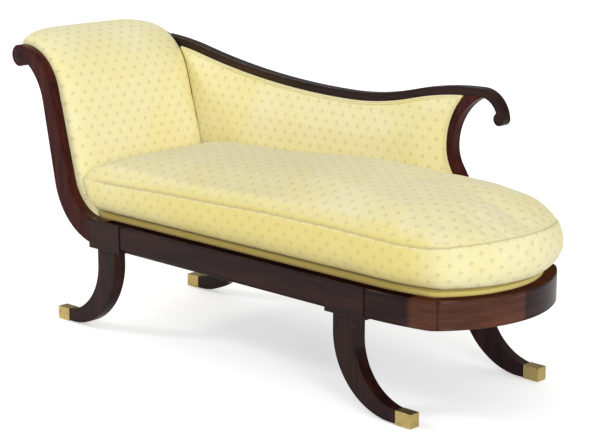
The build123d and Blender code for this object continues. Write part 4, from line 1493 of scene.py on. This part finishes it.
# ---------------------------------------------------------------- seat
@dataclass
class DeckPad:
    """Fixed platform inside the rails, with a cord along its top edge."""

    finishes: Finishes
    low: float = 0.3471
    high: float = 0.3700
    round_over: float = 0.0075
    set_in: float = 0.005
    dip: float = 0.0008
    edge_reach: float = 0.020
    cord: float = 0.0022
    cord_down: float = 0.0014
    rows: tuple[tuple[float, float], ...] = ((0.2, 0.0006), (0.5, 0.0002), (0.8, -0.0002), (1.0, -0.0010))

    def build(self) -> None:
        """Make the platform and its cord."""
        edge = even(section("deck_pad", Z, (self.low + self.high) / 2), 0.012, 1)
        edge = [point + Y * (self.set_in * ease(-point.y, 0.10, 0.10)) for point in edge]
        bm = bmesh.new()
        uv = bm.loops.layers.uv.new("cloth")
        layers = bm.verts.layers.float.new("run"), bm.verts.layers.float_vector.new("out")
        seam = bm.verts.layers.float.new("seam")
        top = flat_face(bm, [onto(point, z=self.high - self.dip) for point in edge], Z)
        mark_outline(top, *layers)
        net(bm, top, (0.004, 0.006, 0.010), 0.04)
        nearest = nearest_on([onto(point, z=0) for point in edge])
        # Painted shade: all of the top but its outermost 3 mm is marked as seam, and so painted darker, for
        # the shade under the cushion.
        for vert in bm.verts:
            gap = nearest(onto(vert.co, z=0))[2]
            vert.co.z -= self.round_over * (1 - min(1.0, gap / self.edge_reach)) ** 2
            vert[seam] = ease(gap, 0, 0.003)
        lay_cloth(bm.faces, uv, lambda vert: vert.co.yx)
        skirt(bm, rim_of(bm), self.rows, self.low, layers, perimeter(edge), uv)
        # Painted shade: the side below the rounded edge is marked upright and painted in the shaded yellow,
        # fading out towards the lit foot.
        upright = bm.verts.layers.float.new("upright")
        for vert in bm.verts:
            vert[upright] = (vert.co.z < self.high - 0.7 * self.round_over) * (
                1 - ease(vert.co.x, 0.60, 0.25)
            )
        close_flat(bm, rim_of(bm))
        outward(bm)
        piece = add_piece("deck_pad_upholstered", bm, self.finishes.deck, CLOTH_CREASE)
        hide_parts("deck_pad")
        path = [onto(point, z=self.high - self.round_over - self.cord_down) for point in edge]
        tube("deck_cord", path, self.cord, self.finishes.deck_cord, closed=True)


def mark_outline(face: BMFace, run: Layer, out: Layer) -> None:
    """Write on each corner of a face its run round the edge and the way outwards from it.

    Args:
        face: The face.
        run: Layer of the run round the edge.
        out: Layer of the way outwards.
    """
    travelled = 0.0
    for loop in face.loops:
        vert = loop.vert
        before, after = loop.link_loop_prev.vert.co, loop.link_loop_next.vert.co
        vert[run] = travelled
        vert[out] = (after - before).normalized().cross(face.normal)
        travelled += (after - vert.co).length


def skirt(
    bm: BMesh,
    rim: list[BMEdge],
    rows: Sequence[tuple[float, float]],
    low: float,
    layers: tuple[Layer, Layer],
    total: float,
    uv: Layer,
    shape: Callable[[Vector, Vector, float, float], Vector] | None = None,
) -> list[BMEdge]:
    """Side band hung from an edge, row by row, with its own flat cloth coordinates.

    Args:
        bm: The mesh.
        rim: Edge that the band hangs from.
        rows: For each row, its share of the drop and how far it stands out.
        low: Height of the band's foot.
        layers: Each corner's run round the edge, and its way outwards.
        total: Length round the edge.
        uv: Layer of the cloth coordinates.
        shape: Moves a corner further, given its place, way outwards, share and run.

    Returns:
        The edges of the last row.
    """
    run, out = layers
    homes = {vert: vert.co.copy() for edge in rim for vert in edge.verts}
    shares = {vert: 0.0 for vert in homes}
    edges = rim
    for share, stand in rows:
        edges, verts = extruded(bm, edges)
        for vert in verts:
            before = next(
                e.other_vert(vert) for e in vert.link_edges if e.other_vert(vert) in homes and e not in edges
            )
            home, way = homes[before], Vector(vert[out])
            homes[vert], shares[vert] = home, share
            vert.co = onto(home, z=home.z + (low - home.z) * share) + way * stand
            if shape:
                vert.co = shape(vert.co, way, share, vert[run])
        for face in [face for edge in edges for face in edge.link_faces]:
            runs = [loop.vert[run] for loop in face.loops]
            wraps = max(runs) - min(runs) > total / 2
            for loop in face.loops:
                along = loop.vert[run] + (total if wraps and loop.vert[run] < total / 2 else 0)
                loop[uv].uv = (-shares[loop.vert] * (homes[loop.vert].z - low), along)
    return edges


@dataclass
class SeatCushion:
    """Loose seat cushion: a crowned top, a boxing band between two plain seams, and a flat bottom."""

    finishes: Finishes
    seam: float = 0.4715
    bottom: float = 0.3712
    section_z: float = 0.4718
    tight: float = 0.002
    foot_tight: float = 0.006
    bulge: float = 0.0085
    tuck: float = 0.016
    start_low: float = 0.007
    back_ends: float = 0.44
    head_from: float = -0.30
    head_top: float = -0.580
    head_bottom: float = -0.510
    pitch: float = 0.0105
    foot: tuple[float, float] = (0.70, 0.14)
    seam_wave: Wave = Wave(0.0014, 24, 24, 31.0)
    billow: Wave = Wave(0.0024, 5, 5, 33.0)
    gathers: Wave = Wave(0.0021, 42, 2.5, 11.0)
    foot_gathers: Wave = Wave(0.0022, 60, 1.2, 17.0)
    boxing_wave: Wave = Wave(0.0026, 13, 1.5, 13.0)
    boxing_rows: tuple[float, ...] = (0.018, 0.06, 0.13, 0.22, 0.33, 0.44, 0.55, 0.66, 0.77, 0.87, 0.94, 1.0)
    seam_line: tuple[tuple[float, float], ...] = (
        (-0.580, 0.462), (-0.500, 0.461), (-0.440, 0.461), (-0.320, 0.4655), (-0.200, 0.470), (-0.020, 0.474),
        (0.100, 0.478), (0.220, 0.482), (0.460, 0.482), (0.580, 0.479), (0.690, 0.4755), (0.763, 0.476),
        (0.822, 0.483), (0.868, 0.489), (0.898, 0.494), (0.915, 0.497),
    )

    def seam_height(self, x: float) -> float:
        """Height of the upper seam, which the full top draws up and down along the cushion.

        Args:
            x: Place along the cushion.

        Returns:
            The height.
        """
        low = self.seam_line[0]
        for high in self.seam_line[1:]:
            if x < high[0]:
                return low[1] + (high[1] - low[1]) * min(max((x - low[0]) / (high[0] - low[0]), 0.0), 1.0)
            low = high
        return low[1]

    def fuller(self, x: float, y: float) -> float:
        """How much higher the filling stands than the plain crown, most at the foot's far side."""
        foot = ease(x, -0.20, 0.62)
        return -0.009 + (0.022 + 0.010 * ease(y, 0.01, 0.09)) * foot

    def outline(self) -> list[Vector]:
        """Plan of the upper seam, with fuller head corners than a cut board's.

        Returns:
            The edge, point by point.
        """
        edge = even(section("seat_cushion", Z, self.section_z), 0.0085, 2)
        for _ in range(8):
            edge = [
                point if point.x > -0.49 else point * 0.5 + (edge[i - 1] + edge[(i + 1) % len(edge)]) * 0.25
                for i, point in enumerate(edge)
            ]
        made = []
        for point in edge:
            fuller = 0.012 * ease(abs(point.y), 0.10, 0.12) * ease(-point.x, 0.50, 0.05)
            made.append(Vector((point.x - fuller, point.y, self.seam)))
        return made

    def crown_heights(self, bm: BMesh, edge: Sequence[Vector]) -> dict[BMVert, Vector]:
        """Raise the top to the solid's crown, softened, a little low so that it can swell.

        Args:
            bm: The flat top.
            edge: Points along its rim.

        Returns:
            For each corner, how far its place on the cloth lies outside its place in plan, as the slope
            uses cloth.
        """
        solid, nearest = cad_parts["seat_cushion"], nearest_on(edge)
        inner, slack = [], {}
        out = bm.verts.layers.float_vector["out"]
        for vert in bm.verts:
            flat = onto(vert.co, z=self.seam)
            near, _, gap = nearest(flat)
            way = (near - flat).normalized() if gap > 1e-4 else Vector(vert[out])
            slack[vert] = way * (0.024 * math.exp(-gap / 0.013))
            lift = self.seam_height(vert.co.x) - self.seam
            if gap < 1e-4:
                vert.co.z = self.seam + lift
                continue
            hit, place, _, _ = solid.ray_cast(onto(vert.co, z=1.0), -Z)
            height = place.z if hit else self.seam
            height = max(0.0, height - self.seam - self.start_low * ease(gap, 0, 0.08))
            at_foot = ease(vert.co.x, 0.45, 0.25)
            height += self.fuller(vert.co.x, vert.co.y) * ease(gap / (0.06 - 0.025 * at_foot))
            rise = (0.3 + 0.3 * at_foot) * gap
            vert.co.z = self.seam + max(height + lift * math.exp(-gap / 0.016), lift + min(height, rise))
            inner.append(vert)
        for _ in range(10):
            bmesh.ops.smooth_vert(bm, verts=inner, factor=0.5, use_axis_z=True)
        for vert in inner:
            gap = nearest(onto(vert.co, z=self.seam))[2]
            near = math.exp(-gap / 0.03)
            vert.co.z += self.seam_wave.at(vert.co.x, vert.co.y, near)
            vert.co.z += self.billow.at(vert.co.x, vert.co.y, 1 - near)
        return slack

    def puckered(self, place: Vector, way: Vector, share: float, run: float) -> Vector:
        """Move a corner of the boxing: lean at the head, a fuller foot, and gathers along both seams.

        Args:
            place: Where it stands.
            way: Its way outwards.
            share: Its share of the drop.
            run: Its run round the edge.

        Returns:
            Its new place.
        """
        at_head = min(max((self.head_from - place.x) / (self.head_from - self.head_top), 0.0), 1.0)
        at_foot = ease(place.x, *self.foot)
        middle = math.sin(math.pi * share)
        if at_head:
            corner = ease(abs(place.y), 0.17, 0.08)
            lean = (self.head_bottom - self.head_top) * share**1.2 - 0.020 * share * corner
            place.x += at_head * lean
        facing_head = max(0.0, -way.x) * at_head
        place -= way * (0.6 * self.bulge * middle * facing_head)
        place -= way * (
            (1.1 * self.bulge * middle + 0.002) * max(0.0, way.y) * ease((self.back_ends - place.x) / 0.1)
        )
        place += way * (0.010 * at_foot * middle**0.7)
        near = math.exp(-share / 0.22) + math.exp(-(1 - share) / 0.25)
        fine = self.gathers.at(run, share, near)
        fine += self.foot_gathers.at(run, share, at_foot * math.exp(-((share - 0.35) / 0.3) ** 2))
        return place + way * (fine + self.boxing_wave.at(run, share, middle))

    def build(self) -> None:
        """Make the cushion, let it swell and close its seams."""
        edge = self.outline()
        bm = bmesh.new()
        uv = bm.loops.layers.uv.new("cloth")
        run, out = bm.verts.layers.float.new("run"), bm.verts.layers.float_vector.new("out")
        seam = bm.verts.layers.float.new("seam")
        top = flat_face(bm, edge, Z)
        mark_outline(top, run, out)
        for vert in top.verts:
            vert.co -= Vector(vert[out]) * (self.tight + self.foot_tight * ease(vert.co.x, *self.foot))
        net(bm, top, (0.0022, 0.005, 0.009), self.pitch)
        outline = [vert for vert in bm.verts if vert.is_boundary]
        slack = self.crown_heights(bm, [vert.co.copy() for vert in outline])
        lay_cloth(bm.faces, uv, lambda vert: (vert.co + slack[vert]).yx)
        rows = [
            (share, self.bulge * math.sin(math.pi * min(1, share * 1.02)) ** 0.7 - self.tuck * share**6)
            for share in self.boxing_rows
        ]
        fill = skirt(bm, rim_of(bm), rows, self.bottom, (run, out), perimeter(edge), uv, self.puckered)
        # Painted shade: the upper seam is marked for a darker line, weaker at the head, and so is the lower
        # seam below.
        for vert in outline:
            vert[seam] = 1.0 - 0.8 * ease(-vert.co.x, 0.46, 0.08)
            vert.co -= Vector(vert[out]) * 0.0012 + Z * 0.0006
        for part in fill:
            for vert in part.verts:
                vert.co.z, vert[seam] = self.bottom, 1.0
        close_flat(bm, fill, (0.008, 0.014), 0.03)
        below = [face for face in bm.faces if all(abs(vert.co.z - self.bottom) < 1e-5 for vert in face.verts)]
        lay_cloth(below, uv, lambda vert: vert.co.yx)
        outward(bm)
        bm.normal_update()
        # Painted light and shade: sides are marked for a deeper yellow, less at the head and none at the lit
        # foot, and tops for a greyer, darker shade, less towards the foot.
        upright, level = bm.verts.layers.float.new("upright"), bm.verts.layers.float.new("level")
        for vert in bm.verts:
            along = (0.5 + 0.5 * ease(vert.co.x, -0.5, 0.4)) * (1 - ease(vert.co.x, 0.72, 0.14))
            vert[upright] = ease((0.85 - vert.normal.z) / 0.6) * along
            vert[level] = ease(vert.normal.z, 0.6, 0.35) * (1 - 0.7 * ease(vert.co.x, 0.1, 0.4))
        piece = add_piece("seat_cushion_sewn", bm, self.finishes.sprig, 80.0, CUSHION_BODY)
        seams, ways = piece.data.attributes["seam"].data, piece.data.attributes["out"].data
        pins = []
        for vert in piece.data.vertices:
            sewn = seams[vert.index].value and vert.co.z > 0.44
            pressed = ways[vert.index].vector.y > 0.8 and vert.co.x < self.back_ends and vert.co.y > 0.15
            if sewn or vert.co.z < self.bottom + 1e-4 or (pressed and vert.co.z < self.seam - 0.002):
                pins.append(vert.index)
        swell(piece, pins, 0.012, 14)
        subdivide(piece)
        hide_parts("seat_cushion")


@dataclass
class DustCover:
    """Black cambric tacked under the seat frame, sagging a little between the rails."""

    finishes: Finishes
    level: float = 0.2676
    sag: float = 0.005
    half_thick: float = 0.0003
    billow: Wave = Wave(0.0008, 7, 7, 41.0)
    flat: tuple[float, float] = (1.424, 0.548)

    def build(self) -> None:
        edge = even(section("dust_cover", Z, self.level), 0.006, 0)
        bm = bmesh.new()
        net(bm, flat_face(bm, edge, -Z), (0.006,), 0.03)
        nearest = nearest_on(edge)
        area = sum(face.calc_area() for face in bm.faces)
        for vert in bm.verts:
            gap = nearest(onto(vert.co, z=self.level))[2]
            slack = self.billow.at(vert.co.x, vert.co.y, ease(gap, 0, 0.05))
            vert.co.z -= self.sag * ease(gap, 0.03, 0.2) + slack
        piece = add_piece("dust_cover_cambric", bm, self.finishes.cambric, 80.0)
        cloth = piece.modifiers.new("Cloth", "SOLIDIFY")
        cloth.thickness, cloth.offset = 2 * self.half_thick, 0.0
        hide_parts("dust_cover")


@dataclass
class HiddenParts:
    """What lies inside the upholstery or under the seat, which keeps its solid's own shape."""

    finishes: Finishes
    back_cloth: tuple[float, float, float] = (1.238, 0.457, 0.4315)
    seat_cloth: tuple[float, float, float] = (1.402, 0.504, 0.6860)

    def build(self) -> None:
        """Give each solid its finish."""
        plan = {
            self.finishes.beech: [
                "head_rail", "seat_stretcher", "foot_board", "head_top_rail", "head_mid_rail",
                "back_tack_rail", "back_uprights", "spring_cleat_front", "spring_cleat_back",
            ],
            self.finishes.webbing: ["head_webbing"],
            self.finishes.hessian: ["back_hessian", "seat_hessian"],
            self.finishes.steel: ["seat_springs", "leg_bolts", "floor_glides"],
        }
        for finish, nodes in plan.items():
            for node in nodes:
                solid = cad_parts[node]
                solid.data.materials.clear()
                solid.data.materials.append(finish)
                log.info("%s: %s", node, finish.name)
        held_by = {
            "back_hessian": (self.back_cloth, ["back_uprights", "back_tack_rail"]),
            "seat_hessian": (self.seat_cloth, ["seat_springs"]),
        }
        for node, (cut, under) in held_by.items():
            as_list(under)


# ---------------------------------------------------------------- studio
@dataclass
class Studio:
    """White floor, soft daylight from two sides, and the camera."""

    camera_place: tuple[float, float, float] = (3.59812, -3.57477, 1.57893)
    camera_turn: tuple[float, float, float] = (76.588, 0.0, 44.54)
    lens: float = 107.26
    floor_shade: tuple[float, ...] = (0.93, 0.93, 0.935, 1.0)
    floor_size: float = 60.0
    sky: float = 0.57
    floor_glow: float = 0.49
    shine: float = 0.22

    def floor(self) -> None:
        """Wide white floor that keeps a pale shadow."""
        bm = bmesh.new()
        bmesh.ops.create_grid(bm, x_segments=1, y_segments=1, size=self.floor_size)
        mesh = bpy.data.meshes.new("studio_floor")
        bm.to_mesh(mesh)
        bm.free()
        floor = put("studio_floor", mesh)
        recipe = Recipe("studio_white")
        recipe.finish(Base_Color=self.floor_shade, Roughness=1.0, Specular_IOR_Level=0.0)
        path = recipe.node("ShaderNodeLightPath", {})
        seen = recipe.maths("MAXIMUM", path.outputs["Is Camera Ray"], path.outputs["Is Transmission Ray"])
        glow = recipe.maths("MULTIPLY", seen, self.floor_glow)
        light = recipe.node("ShaderNodeEmission", {"Color": (1.0, 1.0, 1.0, 1.0), "Strength": glow})
        both = recipe.node("ShaderNodeAddShader", {0: recipe.shader.outputs[0], 1: light.outputs[0]})
        recipe.tree.links.new(both.outputs[0], recipe.tree.nodes["Material Output"].inputs[0])
        mesh.materials.append(recipe.material)
        floor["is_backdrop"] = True

    def lamp(self, name: str, turn: Sequence[float], strength: float, spread: float) -> None:
        """Add one broad distant lamp.

        Args:
            name: Its name.
            turn: Its angles, in degrees.
            strength: How bright it is.
            spread: How broad it is, in degrees.
        """
        light = bpy.data.lights.new(name, "SUN")
        light.energy, light.angle = strength, math.radians(spread)
        put(name, light, turn)

    def world(self) -> None:
        """Even surroundings: white to the camera, softer as light, and dimmer still in the polish."""
        world = bpy.data.worlds.new("studio_air")
        recipe = Tree(world)
        path, strength = recipe.node("ShaderNodeLightPath", {}), self.sky
        for ray, seen in (
            ("Is Glossy Ray", self.shine),
            ("Is Transmission Ray", 1.0),
            ("Is Camera Ray", 1.0),
        ):
            pick = recipe.node("ShaderNodeMix", {0: path.outputs[ray], 2: strength, 3: seen})
            strength = pick.outputs[0]
        air = recipe.tree.nodes["Background"]
        recipe.feed(air.inputs["Color"], (1, 1, 1, 1))
        recipe.feed(air.inputs["Strength"], strength)
        bpy.context.scene.world = world

    def build(self) -> None:
        """Set up floor, light and camera."""
        self.floor()
        self.world()
        self.lamp("daylight_right", turn=(72, 0, 59.5), strength=1.35, spread=24)
        self.lamp("daylight_left", turn=(52, 0, -50), strength=0.5, spread=10)
        data = bpy.data.cameras.new("portrait")
        data.lens, data.sensor_width, data.clip_end = self.lens, 36.0, 200.0
        camera = put("portrait", data, self.camera_turn)
        camera.location = self.camera_place
        bpy.context.scene.camera = camera
        bpy.context.scene.view_settings.view_transform = "Standard"


def main() -> None:
    """Dress every part of the recamier in order."""
    logging.basicConfig(level=logging.INFO, format="%(message)s")
    Studio().build()
    finishes = Finishes()
    wood_and_brass = (HiddenParts, ShowWood, ScrollRosettes, ToeCaps)
    upholstery = (HeadPad, BackPad, OutsideBack, OutsideHead, DeckPad, DustCover, SeatCushion)
    for part in wood_and_brass + upholstery:
        part(finishes).build()


def corners(box: Iterable[Iterable[float]]) -> list[list[float]]:
    """A box's two corners as plain numbers."""
    return [[float(value) for value in corner] for corner in box]


if __name__ == "__main__":
    main()
    {"cad": corners(cad_box), "visual": corners(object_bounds())}
